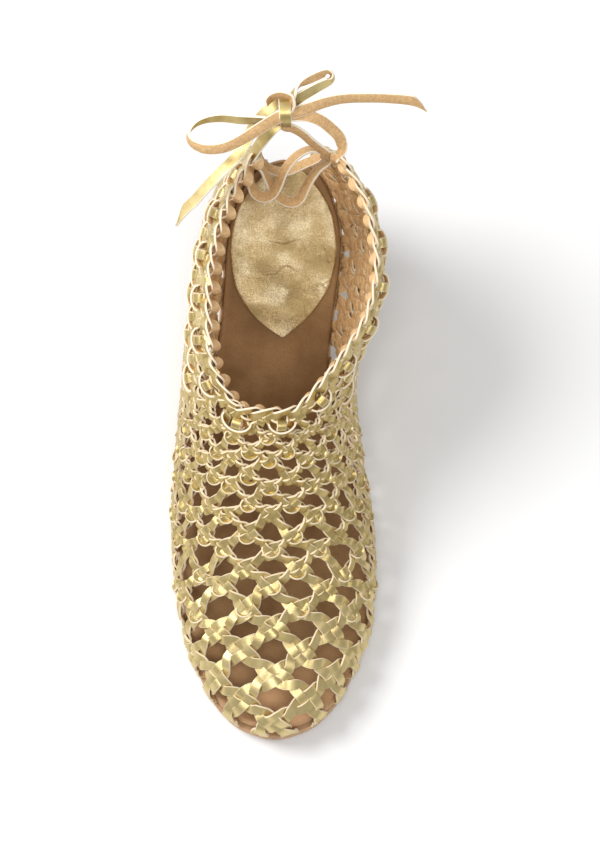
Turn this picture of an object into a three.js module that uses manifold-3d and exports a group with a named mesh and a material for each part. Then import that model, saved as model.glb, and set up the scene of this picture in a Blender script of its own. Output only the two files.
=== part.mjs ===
// Heeled ankle boot for a right foot: a net of knotted leather strips on a leather footbed,
// laced across its open back, on a thin outsole and a stacked block heel.
// Millimetres, +Z up, toe towards -Y, medial side towards +X. The origin lies on the floor
// under the middle of the forefoot's flat tread.
import * as THREE from "three";
import Module from "manifold-3d";

const wasm = await Module();
wasm.setup();
const { Manifold, Mesh: SolidMesh } = wasm;

const LATERAL = 0;
const MEDIAL = 1;
const SIDES = [LATERAL, MEDIAL];
const SEAT_GAP = 0.3; // clearance between curved pieces that rest on each other

// Layers of the sole, measured square to the outsole's underside.
const OUTSOLE_THICK = 3.6;
const OUTSOLE_GROW = 1.0; // outsole reaches this far past the footbed's edge
const MARGIN_THICK = 1.2; // upper turned in under the footbed
const MARGIN_REACH = 7;
const MARGIN_GAP = 0.5; // clearance of that margin above and below
const MARGIN_LOW = OUTSOLE_THICK + MARGIN_GAP;
const MARGIN_HIGH = MARGIN_LOW + MARGIN_THICK;
const FOOTBED_LOW = MARGIN_HIGH + MARGIN_GAP;
const FOOTBED_THICK = 4;
const FOOTBED_HIGH = FOOTBED_LOW + FOOTBED_THICK;
const PAD_THICK = 0.8;
const FEATHER = FOOTBED_LOW + FOOTBED_THICK / 2; // level at which the upper's wall starts

// Wall of the upper either side of its middle surface.
const WALL_GAP = 0.7; // footbed's edge to the wall
const EDGE_HALF = 1.0; // at the footbed's edge
const WALL_SEAT = WALL_GAP + EDGE_HALF;
const KNOT = { out: 1.6, in: 1.2 };
const GAP_RIM = { out: 0.9, in: 0.9 };
const HOLLOW = { out: 0.3, in: 0.9 }; // middle of a diamond that stays closed
const PLAIT = { out: 2.0, in: 1.4 }; // collar and back edges

// Net: half rows run along the foot, half columns across it, knots on every second crossing.
const THROAT_LINE = 18; // half row that ends at the throat
const BACK_LINE = 32; // half row on the back edge
const COLLAR_COLUMN = 2; // half column that becomes the collar
const ROW_STEP = 11.1;
const ROW_SHRINK = 0.954;
const COLUMN_STEP = 15;
const COLUMN_SHRINK = 0.955;
const QUARTER_COLUMN_STEP = 7.4;
const LAST_OPEN_LINE = 11; // gaps are open up to this half row of the vamp
const FIRST_OPEN_COLUMN = 8; // and from this half column down on the quarters
const KNOT_REACH = 5.6; // gap's corner to the knot
const STRIP_REACH = 2.7; // gap's side to the middle of the strips
const MARGIN_STEP = 5;
const FEATHER_SNAP = 0.9;

const HEEL_BREAST_ROW = 9.3;
const HEEL_GROW = -0.4;
const HEEL_TAPER = 0.8;
const HEEL_WAIST = 0.86;
const HEEL_AXIS = { x: 2, y: 127 };
const LIFT_THICK = 6;

const LACE_WIDTH = 4.2;
const LACE_THICK = 1.2;

// Underside of the outsole seen from the side.
const SOLE_SIDE = [
  { y: -96, z: 9.2 },
  { y: -64, z: 2.4 },
  { y: -32, z: 0 },
  { y: 14, z: 0 },
  { y: 42, z: 8.5 },
  { y: 70, z: 25 },
  { y: 100, z: 43 },
  { y: 128, z: 55.5 },
  { y: 156, z: 62 },
];

// Footbed's edge, one row for each section from the toe's tip to the back of the heel.
const OUTLINE = [
  { y: -92, lateral: -2, medial: -2 },
  { y: -88.5, lateral: -14.5, medial: 11 },
  { y: -78, lateral: -26.2, medial: 23 },
  { y: -58, lateral: -35.8, medial: 33 },
  { y: -30, lateral: -42, medial: 39.2 },
  { y: -2, lateral: -43.6, medial: 38 },
  { y: 26, lateral: -40.5, medial: 31.8 },
  { y: 52, lateral: -33.5, medial: 24.2 },
  { y: 74, lateral: -28, medial: 21.4 },
  { y: 96, lateral: -24.6, medial: 24 },
  { y: 118, lateral: -22.6, medial: 26.8 },
  { y: 137, lateral: -17.3, medial: 22.5 },
  { y: 148.2, lateral: -8.8, medial: 14.6 },
  { y: 152, lateral: 3, medial: 3 },
];
const THROAT_ROW = 7;
const BACK_ROW = 12;
const HEEL_ROW = OUTLINE.length - 1;

// Crest of the vamp for the rows of the outline from the toe to the throat, and how far the
// section's handles stand out and up at the footbed, and out and down at the crest.
const CREST = [
  { x: -2, y: -92.2, z: 15.7, lowOut: 0, lowUp: 0, topOut: 0, topDrop: 0 },
  { x: -2, y: -88, z: 25.5, lowOut: 1, lowUp: 6, topOut: 6, topDrop: 0.5 },
  { x: -2, y: -79, z: 31, lowOut: 1.5, lowUp: 10, topOut: 12, topDrop: 1 },
  { x: -2.5, y: -59, z: 36.5, lowOut: 2, lowUp: 14, topOut: 21, topDrop: 1.5 },
  { x: -3, y: -32, z: 45.5, lowOut: 3, lowUp: 19, topOut: 27, topDrop: 2 },
  { x: -3.5, y: -11, z: 57.5, lowOut: 4.5, lowUp: 25, topOut: 30, topDrop: 2.5 },
  { x: -4, y: 9, z: 73.5, lowOut: 9, lowUp: 31, topOut: 32, topDrop: 2 },
  { x: -5, y: 28.6, z: 93, lowOut: 15, lowUp: 34, topOut: 34, topDrop: 1 },
];

// Collar for the rows of the outline behind the throat, with the same four handles.
const COLLAR = [
  { y: 53, z: 101.5, lateral: -29.2, medial: 27.5, lowOut: 14, lowUp: 24, topOut: 12, topDrop: 22 },
  { y: 69, z: 110, lateral: -29.6, medial: 36, lowOut: 13, lowUp: 21, topOut: 10, topDrop: 19 },
  { y: 85, z: 118, lateral: -28.4, medial: 38.5, lowOut: 11, lowUp: 20, topOut: 9, topDrop: 19 },
  { y: 104, z: 128, lateral: -23, medial: 35, lowOut: 9, lowUp: 21, topOut: 8, topDrop: 20 },
  { y: 125, z: 139, lateral: -10, medial: 23.2, lowOut: 5, lowUp: 22, topOut: 5, topDrop: 22 },
];

// Heel pad on the footbed, from its tip back.
const PAD = [
  { y: 84, lateral: 0.6, medial: 2.2 },
  { y: 87, lateral: -5, medial: 7 },
  { y: 94, lateral: -13.6, medial: 15.4 },
  { y: 104, lateral: -19.6, medial: 22.2 },
  { y: 117, lateral: -21.4, medial: 25 },
  { y: 130, lateral: -18.6, medial: 22.8 },
  { y: 140, lateral: -12.6, medial: 17 },
  { y: 147, lateral: -5, medial: 10.6 },
];

const FINISH = {
  giltStrip: { color: 0xc2a45f, roughness: 0.38, metalness: 0.75 },
  giltPad: { color: 0xb9985a, roughness: 0.45, metalness: 0.6 },
  footbedLeather: { color: 0x7a5336, roughness: 0.6, metalness: 0 },
  soleLeather: { color: 0xa9784d, roughness: 0.65, metalness: 0 },
  heelLeather: { color: 0x6b4a31, roughness: 0.5, metalness: 0 },
  rubber: { color: 0x2b2622, roughness: 0.85, metalness: 0 },
};

const vec = (x, y, z) => new THREE.Vector3(x, y, z);
const mix = (from, to, t) => from + (to - from) * t;
const range = (count) => Array.from({ length: count }, (unused, k) => k);
const spread = (from, to, count) => range(count).map((k) => mix(from, to, k / (count - 1)));

function endSlope(near, far, nearRise, farRise) {
  const slope = ((2 * near + far) * nearRise - near * farRise) / (near + far);
  return slope * nearRise <= 0 ? 0 : slope;
}

// Smooth curve through the points that keeps level stretches level and never overshoots.
function monotone(xs, ys) {
  const last = xs.length - 1;
  const step = range(last).map((k) => xs[k + 1] - xs[k]);
  const rise = range(last).map((k) => (ys[k + 1] - ys[k]) / step[k]);
  const slope = xs.map((x, k) => {
    if (k === 0) return endSlope(step[0], step[1], rise[0], rise[1]);
    if (k === last) return endSlope(step[k - 1], step[k - 2], rise[k - 1], rise[k - 2]);
    if (rise[k - 1] * rise[k] <= 0) return 0;
    const before = 2 * step[k] + step[k - 1];
    const after = step[k] + 2 * step[k - 1];
    return (before + after) / (before / rise[k - 1] + after / rise[k]);
  });
  return (x) => {
    const k = THREE.MathUtils.clamp(xs.findLastIndex((edge) => x >= edge), 0, last - 1);
    const t = (x - xs[k]) / step[k];
    const near = (1 + 2 * t) * (1 - t) ** 2 * ys[k] + t * (1 - t) ** 2 * step[k] * slope[k];
    const far = (3 - 2 * t) * t ** 2 * ys[k + 1] + (t - 1) * t ** 2 * step[k] * slope[k + 1];
    return near + far;
  };
}

const byRow = (values, first = 0) => monotone(values.map((value, k) => first + k), values);
const pick = (table, key) => table.map((row) => row[key]);

// Sole
const soleHeight = monotone(pick(SOLE_SIDE, "y"), pick(SOLE_SIDE, "z"));

function bedPoint(x, y, lift) {
  const slope = Math.atan(soleHeight(y + 0.5) - soleHeight(y - 0.5));
  return vec(x, y - lift * Math.sin(slope), soleHeight(y) + lift * Math.cos(slope));
}

const outlineY = byRow(pick(OUTLINE, "y"));
const outlineX = [byRow(pick(OUTLINE, "lateral")), byRow(pick(OUTLINE, "medial"))];

// Footbed's edge in plan at a row, moved outwards, with its outward direction.
function edgePlan(side, row, grow) {
  const before = Math.max(row - 0.01, 0);
  const after = Math.min(row + 0.01, HEEL_ROW);
  const along = new THREE.Vector2(
    outlineX[side](after) - outlineX[side](before),
    outlineY(after) - outlineY(before),
  ).normalize();
  const turn = side === LATERAL ? 1 : -1;
  const out = vec(-along.y * turn, along.x * turn, 0);
  return { x: outlineX[side](row) + out.x * grow, y: outlineY(row) + out.y * grow, out };
}

function edgePoint(side, row, grow, lift) {
  const plan = edgePlan(side, row, grow);
  return bedPoint(plan.x, plan.y, lift);
}

// Closed solid from points and triangles, turned to face outwards.
function solid(points, triangles) {
  const volume = triangles.reduce((sum, [p, q, r]) => {
    return sum + points[p].dot(points[q].clone().cross(points[r]));
  }, 0);
  const facing = volume < 0 ? triangles.map(([p, q, r]) => [p, r, q]) : triangles;
  const geometry = new THREE.BufferGeometry().setFromPoints(points);
  geometry.setIndex(facing.flat());
  geometry.computeVertexNormals();
  return geometry;
}

// Solid through rings that all have the same number of points, closed by flat ends.
function loft(rings) {
  const count = rings[0].length;
  const triangles = [];
  range(rings.length - 1).forEach((r) => {
    range(count).forEach((k) => {
      const here = r * count + k;
      const beside = r * count + ((k + 1) % count);
      triangles.push([here, beside, beside + count], [here, beside + count, here + count]);
    });
  });
  const end = (rings.length - 1) * count;
  range(count - 2).forEach((k) => {
    triangles.push([0, k + 2, k + 1], [end, end + k + 1, end + k + 2]);
  });
  return solid(rings.flat(), triangles);
}

// Layer that follows the sole; the levels climb from its underside to its top.
function layer(rows, levels, place) {
  return loft(
    rows.map((row) => [
      ...levels.map(({ grow, lift }) => place(LATERAL, row, grow, lift)),
      ...levels.toReversed().map(({ grow, lift }) => place(MEDIAL, row, grow, lift)),
    ]),
  );
}

const soleRows = spread(0.1, HEEL_ROW - 0.08, 36);
const outsole = layer(
  soleRows,
  [
    { grow: OUTSOLE_GROW, lift: 0 },
    { grow: OUTSOLE_GROW, lift: OUTSOLE_THICK },
  ],
  edgePoint,
);
const footbed = layer(
  soleRows,
  [
    { grow: -1, lift: FOOTBED_LOW },
    { grow: 0, lift: FOOTBED_LOW + 1 },
    { grow: 0, lift: FOOTBED_HIGH - 1.4 },
    { grow: -1.2, lift: FOOTBED_HIGH },
  ],
  edgePoint,
);

const padX = [
  monotone(pick(PAD, "y"), pick(PAD, "lateral")),
  monotone(pick(PAD, "y"), pick(PAD, "medial")),
];
const heelPad = layer(
  spread(PAD[0].y, PAD.at(-1).y, 26),
  [
    { grow: 0, lift: FOOTBED_HIGH + SEAT_GAP },
    { grow: 0, lift: FOOTBED_HIGH + SEAT_GAP + PAD_THICK },
  ],
  (side, y, grow, lift) => bedPoint(padX[side](y), y, lift),
);

// Heel: each ring hangs from the outsole's underside and draws in towards the heel's axis.
function heelPoint(side, row, taper, z) {
  const top = edgePoint(side, row, HEEL_GROW, -SEAT_GAP);
  const x = mix(HEEL_AXIS.x, top.x, taper);
  const y = mix(HEEL_AXIS.y, top.y, taper);
  return vec(x, y, z ?? top.z);
}

const heelRows = spread(HEEL_BREAST_ROW, HEEL_ROW - 0.08, 16);
const heelRing = (row) => {
  const middle = edgePoint(LATERAL, row, HEEL_GROW, 0).z / 2;
  return [
    heelPoint(LATERAL, row, 1),
    heelPoint(MEDIAL, row, 1),
    heelPoint(MEDIAL, row, HEEL_WAIST, middle),
    heelPoint(MEDIAL, row, HEEL_TAPER, LIFT_THICK),
    heelPoint(LATERAL, row, HEEL_TAPER, LIFT_THICK),
    heelPoint(LATERAL, row, HEEL_WAIST, middle),
  ];
};
const heelBlock = loft(heelRows.map(heelRing));
const topLift = loft(
  heelRows.map((row) => [
    heelPoint(LATERAL, row, HEEL_TAPER, LIFT_THICK),
    heelPoint(MEDIAL, row, HEEL_TAPER, LIFT_THICK),
    heelPoint(MEDIAL, row, HEEL_TAPER, 0),
    heelPoint(LATERAL, row, HEEL_TAPER, 0),
  ]),
);

// Upper: sections of the last, each a curve from the footbed's edge to the crest or collar.
function sectionHandles(side, row, crown, shape, across) {
  const edge = edgePlan(side, row, WALL_SEAT);
  const foot = bedPoint(edge.x, edge.y, FEATHER);
  const low = foot.clone().addScaledVector(edge.out, shape.lowOut);
  low.z += shape.lowUp;
  const outwards = across ?? edge.out;
  const top = crown.clone().addScaledVector(outwards, shape.topOut);
  top.z -= shape.topDrop;
  return [foot, low, top, crown];
}

function crestHandles(side, shape, row) {
  const crown = vec(shape.x, shape.y, shape.z);
  if (row === 0) {
    const tip = edgePoint(side, row, WALL_SEAT, FEATHER);
    return [tip, tip, tip, tip];
  }
  return sectionHandles(side, row, crown, shape, vec(side === LATERAL ? -1 : 1, 0, 0));
}

const bezier = ([foot, low, top, crown], t) => {
  const s = 1 - t;
  return foot
    .clone()
    .multiplyScalar(s ** 3)
    .addScaledVector(low, 3 * s * s * t)
    .addScaledVector(top, 3 * s * t * t)
    .addScaledVector(crown, t ** 3);
};

const SECTION_STEPS = 32;

// Parameter of a section's curve at a distance from its crown, and the curve's full length.
function sectionRun(handles) {
  const run = [0];
  let point = bezier(handles, 1);
  range(SECTION_STEPS).forEach((k) => {
    const next = bezier(handles, 1 - (k + 1) / SECTION_STEPS);
    run.push(run[k] + next.distanceTo(point));
    point = next;
  });
  return run;
}

function sectionParameter(handles, reach) {
  const run = sectionRun(handles);
  const k = THREE.MathUtils.clamp(run.findLastIndex((far) => reach >= far), 0, SECTION_STEPS - 1);
  const part = (reach - run[k]) / Math.max(run[k + 1] - run[k], 1e-6);
  return 1 - (k + Math.min(part, 1)) / SECTION_STEPS;
}

const columnStep = (line) => {
  const throatStep = COLUMN_STEP * COLUMN_SHRINK ** THROAT_LINE;
  if (line <= THROAT_LINE) return COLUMN_STEP * COLUMN_SHRINK ** Math.max(line, 0);
  return mix(throatStep, QUARTER_COLUMN_STEP, (line - THROAT_LINE) / (BACK_LINE - THROAT_LINE));
};
const COLLAR_START = COLLAR_COLUMN * columnStep(THROAT_LINE);

// Part of a section below a parameter, as handles of its own.
function lowerPart(handles, t) {
  const [a, b, c, d] = handles;
  const ab = a.clone().lerp(b, t);
  const bc = b.clone().lerp(c, t);
  const cd = c.clone().lerp(d, t);
  const abc = ab.clone().lerp(bc, t);
  const bcd = bc.clone().lerp(cd, t);
  return [a.clone(), ab, abc, abc.clone().lerp(bcd, t)];
}

const vampRows = SIDES.map((side) => CREST.map((shape, row) => crestHandles(side, shape, row)));
const quarterRows = SIDES.map((side) => {
  const throat = vampRows[side][THROAT_ROW];
  const rest = COLLAR.map((shape, k) => {
    const crown = vec(side === LATERAL ? shape.lateral : shape.medial, shape.y, shape.z);
    return sectionHandles(side, THROAT_ROW + 1 + k, crown, shape);
  });
  return [lowerPart(throat, sectionParameter(throat, COLLAR_START)), ...rest];
});

// Handles at any row between the sections.
function handleCurves(rows, first) {
  return range(4).map((h) => {
    const axes = ["x", "y", "z"].map((axis) => byRow(rows.map((row) => row[h][axis]), first));
    return (row) => vec(axes[0](row), axes[1](row), axes[2](row));
  });
}

const vampCurves = vampRows.map((rows) => handleCurves(rows, 0));
const quarterCurves = quarterRows.map((rows) => handleCurves(rows, THROAT_ROW));

function section(side, row) {
  const onVamp = row <= THROAT_ROW;
  const curves = onVamp ? vampCurves[side] : quarterCurves[side];
  return { handles: curves.map((curve) => curve(row)), start: onVamp ? 0 : COLLAR_START };
}

// Girth runs from the crest, lateral side negative.
const sideOf = (girth) => (girth < 0 ? LATERAL : MEDIAL);

function wallPoint(row, girth) {
  const { handles, start } = section(sideOf(girth), row);
  return bezier(handles, sectionParameter(handles, Math.abs(girth) - start));
}

function wallGirth(side, row) {
  const { handles, start } = section(side, row);
  return start + sectionRun(handles).at(-1);
}

function wallNormal(row, girth) {
  const small = 0.02;
  const low = row > THROAT_ROW ? THROAT_ROW + 1e-6 : small;
  const high = row > THROAT_ROW ? BACK_ROW : THROAT_ROW;
  const along = wallPoint(Math.min(row + small, high), girth);
  along.sub(wallPoint(Math.max(row - small, low), girth));
  const inner = row > THROAT_ROW && Math.abs(girth) < COLLAR_START + 0.3 ? 0.3 : 0;
  const middle = girth + Math.sign(girth) * inner;
  const across = wallPoint(row, middle + 0.25).sub(wallPoint(row, middle - 0.25));
  return across.cross(along).normalize();
}

// Rows of the net: they close up along the crest, then step evenly along the collar.
function runAlong(curve, from, to) {
  const rows = spread(from, to, 161);
  const run = [0];
  range(160).forEach((k) => run.push(run[k] + curve(rows[k + 1]).distanceTo(curve(rows[k]))));
  return monotone(run, rows);
}

const crestCurve = vampCurves[LATERAL][3];
const crestRows = spread(0, THROAT_ROW, 161);
const crestLength = range(160).reduce((sum, k) => {
  return sum + crestCurve(crestRows[k + 1]).distanceTo(crestCurve(crestRows[k]));
}, 0);
const crestRowAt = runAlong(crestCurve, 0, THROAT_ROW);
const toThroat = (line) => {
  return (ROW_STEP * (ROW_SHRINK ** line - ROW_SHRINK ** THROAT_LINE)) / (1 - ROW_SHRINK);
};

function lineRow(line) {
  if (line >= THROAT_LINE) {
    return mix(THROAT_ROW, BACK_ROW, (line - THROAT_LINE) / (BACK_LINE - THROAT_LINE));
  }
  const first = crestRowAt(crestLength - toThroat(0));
  return line < 0 ? first * (1 + line) : crestRowAt(crestLength - toThroat(line));
}

function netPlace(line, column) {
  const beyond = line > THROAT_LINE;
  const step = columnStep(line);
  const reach = Math.abs(column);
  const girth = beyond ? COLLAR_START + (reach - COLLAR_COLUMN) * step : reach * step;
  return { row: lineRow(line), girth: Math.sign(column) * girth };
}

// Net points hold where they are and how thick the wall is there.
const netPoints = [];
const named = new Map();
const inside = ({ row, girth }) => wallGirth(sideOf(girth), row) - Math.abs(girth);

function addPoint(name, make) {
  if (!named.has(name)) {
    named.set(name, netPoints.length);
    netPoints.push(make());
  }
  return named.get(name);
}

function featherAt(side, row) {
  const girth = wallGirth(side, row) * (side === LATERAL ? -1 : 1);
  return { row, girth, side, depth: 0, feather: true };
}

function netPoint(line, column, wall) {
  return addPoint(`${line.toFixed(4)},${column.toFixed(4)}`, () => {
    const place = netPlace(line, column);
    const depth = inside(place);
    if (Math.abs(depth) < FEATHER_SNAP) return featherAt(sideOf(place.girth), place.row);
    return { ...place, depth, wall };
  });
}

// Point where the line between two net points passes the footbed's edge.
function crossing(from, to) {
  const name = from < to ? `${from}-${to}` : `${to}-${from}`;
  return addPoint(name, () => {
    let near = netPoints[from];
    let far = netPoints[to];
    range(40).forEach(() => {
      const middle = { row: (near.row + far.row) / 2, girth: (near.girth + far.girth) / 2 };
      if (inside(middle) >= 0) near = middle;
      else far = middle;
    });
    return featherAt(sideOf(near.girth), near.row);
  });
}

function clip(face) {
  const kept = [];
  face.forEach((here, k) => {
    const next = face[(k + 1) % face.length];
    const hereIn = netPoints[here].depth >= 0;
    const nextIn = netPoints[next].depth >= 0;
    if (hereIn) kept.push(here);
    if (hereIn !== nextIn && !(hereIn ? netPoints[here] : netPoints[next]).feather) {
      kept.push(hereIn ? crossing(here, next) : crossing(next, here));
    }
  });
  return kept.filter((point, k) => point !== kept[(k + 1) % kept.length]);
}

const onNet = (line, column) => {
  if (line < -1 || line > BACK_LINE) return false;
  return line <= THROAT_LINE || Math.abs(column) >= COLLAR_COLUMN;
};
const onRim = (line, column) => {
  if (line === BACK_LINE) return true;
  const reach = Math.abs(column);
  if (line === THROAT_LINE) return reach <= COLLAR_COLUMN;
  return line > THROAT_LINE && reach === COLLAR_COLUMN;
};
const isOpen = (line, column) => {
  if (onRim(line, column)) return false;
  if (line <= THROAT_LINE) return line <= LAST_OPEN_LINE;
  return Math.abs(column) >= FIRST_OPEN_COLUMN && line < BACK_LINE - 1;
};

const CORNERS = [
  { line: 1, column: 0 },
  { line: 0, column: 1 },
  { line: -1, column: 0 },
  { line: 0, column: -1 },
];

// Gap in a diamond: its corners stop short of the knots and its sides short of the strips.
function gapPoint(line, column, corner, beside) {
  const lineStep = Math.abs(
    wallPoint(lineRow(Math.min(line + 1, BACK_LINE)), netPlace(line, column).girth || 0.01)
      .distanceTo(wallPoint(lineRow(line), netPlace(line, column).girth || 0.01)),
  );
  const step = columnStep(line);
  if (!beside) {
    const size = corner.line ? lineStep : step;
    const part = Math.max(1 - KNOT_REACH / size, 0.28);
    return [line + corner.line * part, column + corner.column * part];
  }
  const height = (lineStep * step) / Math.hypot(lineStep, step);
  const part = Math.max(1 - STRIP_REACH / height, 0.4) / 2;
  return [
    line + (corner.line + beside.line) * part,
    column + (corner.column + beside.column) * part,
  ];
}

function cellFaces(line, column) {
  const faces = [];
  const open = isOpen(line, column) && CORNERS.every((c) => onNet(line + c.line, column + c.column));
  CORNERS.forEach((corner, k) => {
    const beside = CORNERS[(k + 1) % 4];
    const at = [line + corner.line, column + corner.column];
    const to = [line + beside.line, column + beside.column];
    if (!onNet(...at) || !onNet(...to)) return;
    const from = netPoint(...at, onRim(...at) ? PLAIT : KNOT);
    const next = netPoint(...to, onRim(...to) ? PLAIT : KNOT);
    if (!open) {
      const middle = netPoint(line, column, onRim(line, column) ? PLAIT : HOLLOW);
      faces.push([middle, from, next]);
      return;
    }
    const gapFrom = netPoint(...gapPoint(line, column, corner), GAP_RIM);
    const gapSide = netPoint(...gapPoint(line, column, corner, beside), GAP_RIM);
    const gapNext = netPoint(...gapPoint(line, column, beside), GAP_RIM);
    faces.push([from, gapSide, gapFrom], [from, next, gapSide], [next, gapNext, gapSide]);
  });
  return faces;
}

const planArea = (face) => {
  return face.reduce((sum, point, k) => {
    const here = netPoints[point];
    const next = netPoints[face[(k + 1) % face.length]];
    return sum + here.girth * next.row - next.girth * here.row;
  }, 0);
};

const netFaces = [];
const COLUMN_LIMIT = 18;
range(BACK_LINE + 2).forEach((k) => {
  const line = k - 1;
  range(2 * COLUMN_LIMIT + 1).forEach((c) => {
    const column = c - COLUMN_LIMIT;
    if ((line + column) % 2 === 0 || !onNet(line, column)) return;
    cellFaces(line, column).forEach((face) => {
      const kept = clip(face);
      if (kept.length < 3 || kept.every((point) => netPoints[point].feather)) return;
      const facing = planArea(kept) < 0 ? kept.toReversed() : kept;
      range(facing.length - 2).forEach((f) => {
        netFaces.push([facing[0], facing[f + 1], facing[f + 2]]);
      });
    });
  });
});

// Margin turned in under the footbed, along every point where the net meets its edge.
const used = new Set(netFaces.flat());
const featherKey = ({ side, row }) => (side === LATERAL ? -row : row);
const met = [...used].filter((point) => netPoints[point].feather);
met.sort((p, q) => featherKey(netPoints[p]) - featherKey(netPoints[q]));
const featherLine = [met[0]];
range(met.length - 1).forEach((k) => {
  const from = featherKey(netPoints[met[k]]);
  const to = featherKey(netPoints[met[k + 1]]);
  const pair = [met[k], met[k + 1]];
  const joined = netFaces.some((face) => pair.every((point) => face.includes(point)));
  const start = edgePoint(from < 0 ? LATERAL : MEDIAL, Math.abs(from), WALL_SEAT, FEATHER);
  const end = edgePoint(to < 0 ? LATERAL : MEDIAL, Math.abs(to), WALL_SEAT, FEATHER);
  const pieces = joined ? 1 : Math.ceil(start.distanceTo(end) / MARGIN_STEP);
  range(pieces - 1).forEach((p) => {
    const key = mix(from, to, (p + 1) / pieces);
    featherLine.push(netPoints.push(featherAt(key < 0 ? LATERAL : MEDIAL, Math.abs(key))) - 1);
  });
  featherLine.push(met[k + 1]);
});

const margin = (kind) => featherLine.map((point) => {
  const { row, side } = netPoints[point];
  return netPoints.push({ row, side, margin: kind }) - 1;
});
const turn = margin("turn");
const inset = margin("inset");
range(featherLine.length - 1).forEach((k) => {
  [[featherLine, turn], [turn, inset]].forEach(([above, below]) => {
    netFaces.push([above[k], below[k], below[k + 1]], [above[k], below[k + 1], above[k + 1]]);
  });
});

// Outer and inner face of the wall at each net point.
function wallFaces(point) {
  const { row, side } = point;
  if (point.feather) {
    return [WALL_GAP + 2 * EDGE_HALF, WALL_GAP].map((grow) => edgePoint(side, row, grow, FEATHER));
  }
  if (point.margin === "turn") {
    const outer = edgePoint(side, row, WALL_GAP + 2 * EDGE_HALF, MARGIN_LOW);
    return [outer, edgePoint(side, row, WALL_GAP, MARGIN_HIGH)];
  }
  if (point.margin === "inset") {
    return [MARGIN_LOW, MARGIN_HIGH].map((lift) => edgePoint(side, row, -MARGIN_REACH, lift));
  }
  const middle = wallPoint(point.row, point.girth);
  const normal = wallNormal(point.row, point.girth);
  const outer = middle.clone().addScaledVector(normal, point.wall.out);
  return [outer, middle.addScaledVector(normal, -point.wall.in)];
}

// Closed wall: outer faces, inner faces, and a strip along every free edge.
function thicken(points, faces) {
  const count = points.length;
  const pairs = points.map(wallFaces);
  const shell = [...pairs.map(([outer]) => outer), ...pairs.map(([outer, inner]) => inner)];
  const edges = new Set(faces.flatMap(([p, q, r]) => [`${p},${q}`, `${q},${r}`, `${r},${p}`]));
  const triangles = [...faces, ...faces.map(([p, q, r]) => [r + count, q + count, p + count])];
  edges.forEach((edge) => {
    const [from, to] = edge.split(",").map(Number);
    if (edges.has(`${to},${from}`)) return;
    triangles.push([to, from, from + count], [to, from + count, to + count]);
  });
  return solid(shell, triangles);
}

const kept = [...new Set(netFaces.flat())];
const renumber = new Map(kept.map((point, k) => [point, k]));
const upper = thicken(
  kept.map((point) => netPoints[point]),
  netFaces.map((face) => face.map((point) => renumber.get(point))),
);

// Lace: a flat strip along a curve, its width turned towards the given directions.
function strap(path, widths, steps) {
  const curve = new THREE.CatmullRomCurve3(path, false, "centripetal");
  const turns = new THREE.CatmullRomCurve3(widths, false, "centripetal");
  return loft(
    spread(0, 1, steps).map((t) => {
      const at = curve.getPoint(t);
      const along = curve.getTangent(t);
      const across = turns.getPoint(t);
      across.addScaledVector(along, -across.dot(along)).setLength(LACE_WIDTH / 2);
      const face = along.clone().cross(across).setLength(LACE_THICK / 2);
      const corner = (w, f) => at.clone().addScaledVector(across, w).addScaledVector(face, f);
      return [corner(-1, -1), corner(1, -1), corner(1, 1), corner(-1, 1)];
    }),
  );
}

// Place just clear of a back edge, a distance below the collar, and the edge's direction there.
function backEdge(side, below) {
  const girth = (COLLAR_START + below) * (side === LATERAL ? -1 : 1);
  const nearer = girth - Math.sign(girth) * 0.5;
  const edge = wallPoint(BACK_ROW, nearer).sub(wallPoint(BACK_ROW, girth)).normalize();
  const inwards = edge.clone().cross(wallNormal(BACK_ROW, girth));
  inwards.multiplyScalar(side === LATERAL ? Math.sign(inwards.x) : -Math.sign(inwards.x));
  return { at: wallPoint(BACK_ROW, girth).addScaledVector(inwards, BACK_CLEAR), edge };
}

const BACK_CLEAR = 1.75;
const shift = (point, x, y, z) => point.clone().add(vec(x, y, z));

function slackStrand(lateralBelow, medialBelow, sagY, sagZ) {
  const from = backEdge(LATERAL, lateralBelow);
  const to = backEdge(MEDIAL, medialBelow);
  const low = from.at.clone().lerp(to.at, 0.5).add(vec(0, sagY, sagZ));
  const nearFrom = shift(from.at.clone().lerp(low, 0.5), 1, sagY * 0.1, sagZ * 0.15);
  const nearTo = shift(to.at.clone().lerp(low, 0.5), -1, sagY * 0.1, sagZ * 0.15);
  const widths = [from.edge, from.edge, vec(0, 0.2, 1), to.edge, to.edge];
  return strap([from.at, nearFrom, low, nearTo, to.at], widths, 15);
}

function toManifold(geometry) {
  const vertProperties = new Float32Array(geometry.getAttribute("position").array);
  const triVerts = new Uint32Array(geometry.index.array);
  return new Manifold(new SolidMesh({ numProp: 3, vertProperties, triVerts }));
}

function joined(first, second) {
  const mesh = toManifold(first).add(toManifold(second)).getMesh();
  const geometry = new THREE.BufferGeometry();
  geometry.setAttribute("position", new THREE.BufferAttribute(mesh.vertProperties, 3));
  geometry.setIndex(new THREE.BufferAttribute(mesh.triVerts, 1));
  geometry.computeVertexNormals();
  return geometry;
}

const laceCrossing = joined(slackStrand(18, 9, -14, -13), slackStrand(9, 18, -17, -11));
const laceBarLow = slackStrand(44, 44, -3, -4);

// Bow behind the top corners of the collar.
const KNOT_AT = vec(3, 136, 160);
const fromKnot = (x, y, z) => shift(KNOT_AT, x, y, z);
const bowKnot = new THREE.SphereGeometry(1, 12, 8);
bowKnot.scale(4.1, 5.3, 5.4).translate(KNOT_AT.x, KNOT_AT.y, KNOT_AT.z);

function cornerRise(side) {
  const { at, edge } = backEdge(side, 2.2);
  const reach = side === LATERAL ? -3.8 : 3.8;
  const end = fromKnot(reach, -0.5, -4.3);
  const middle = shift(at.clone().lerp(end, 0.5), 0, 3, 1);
  return strap([at, middle, end], [edge, edge, vec(0, 0.5, 1)], 7);
}

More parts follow.
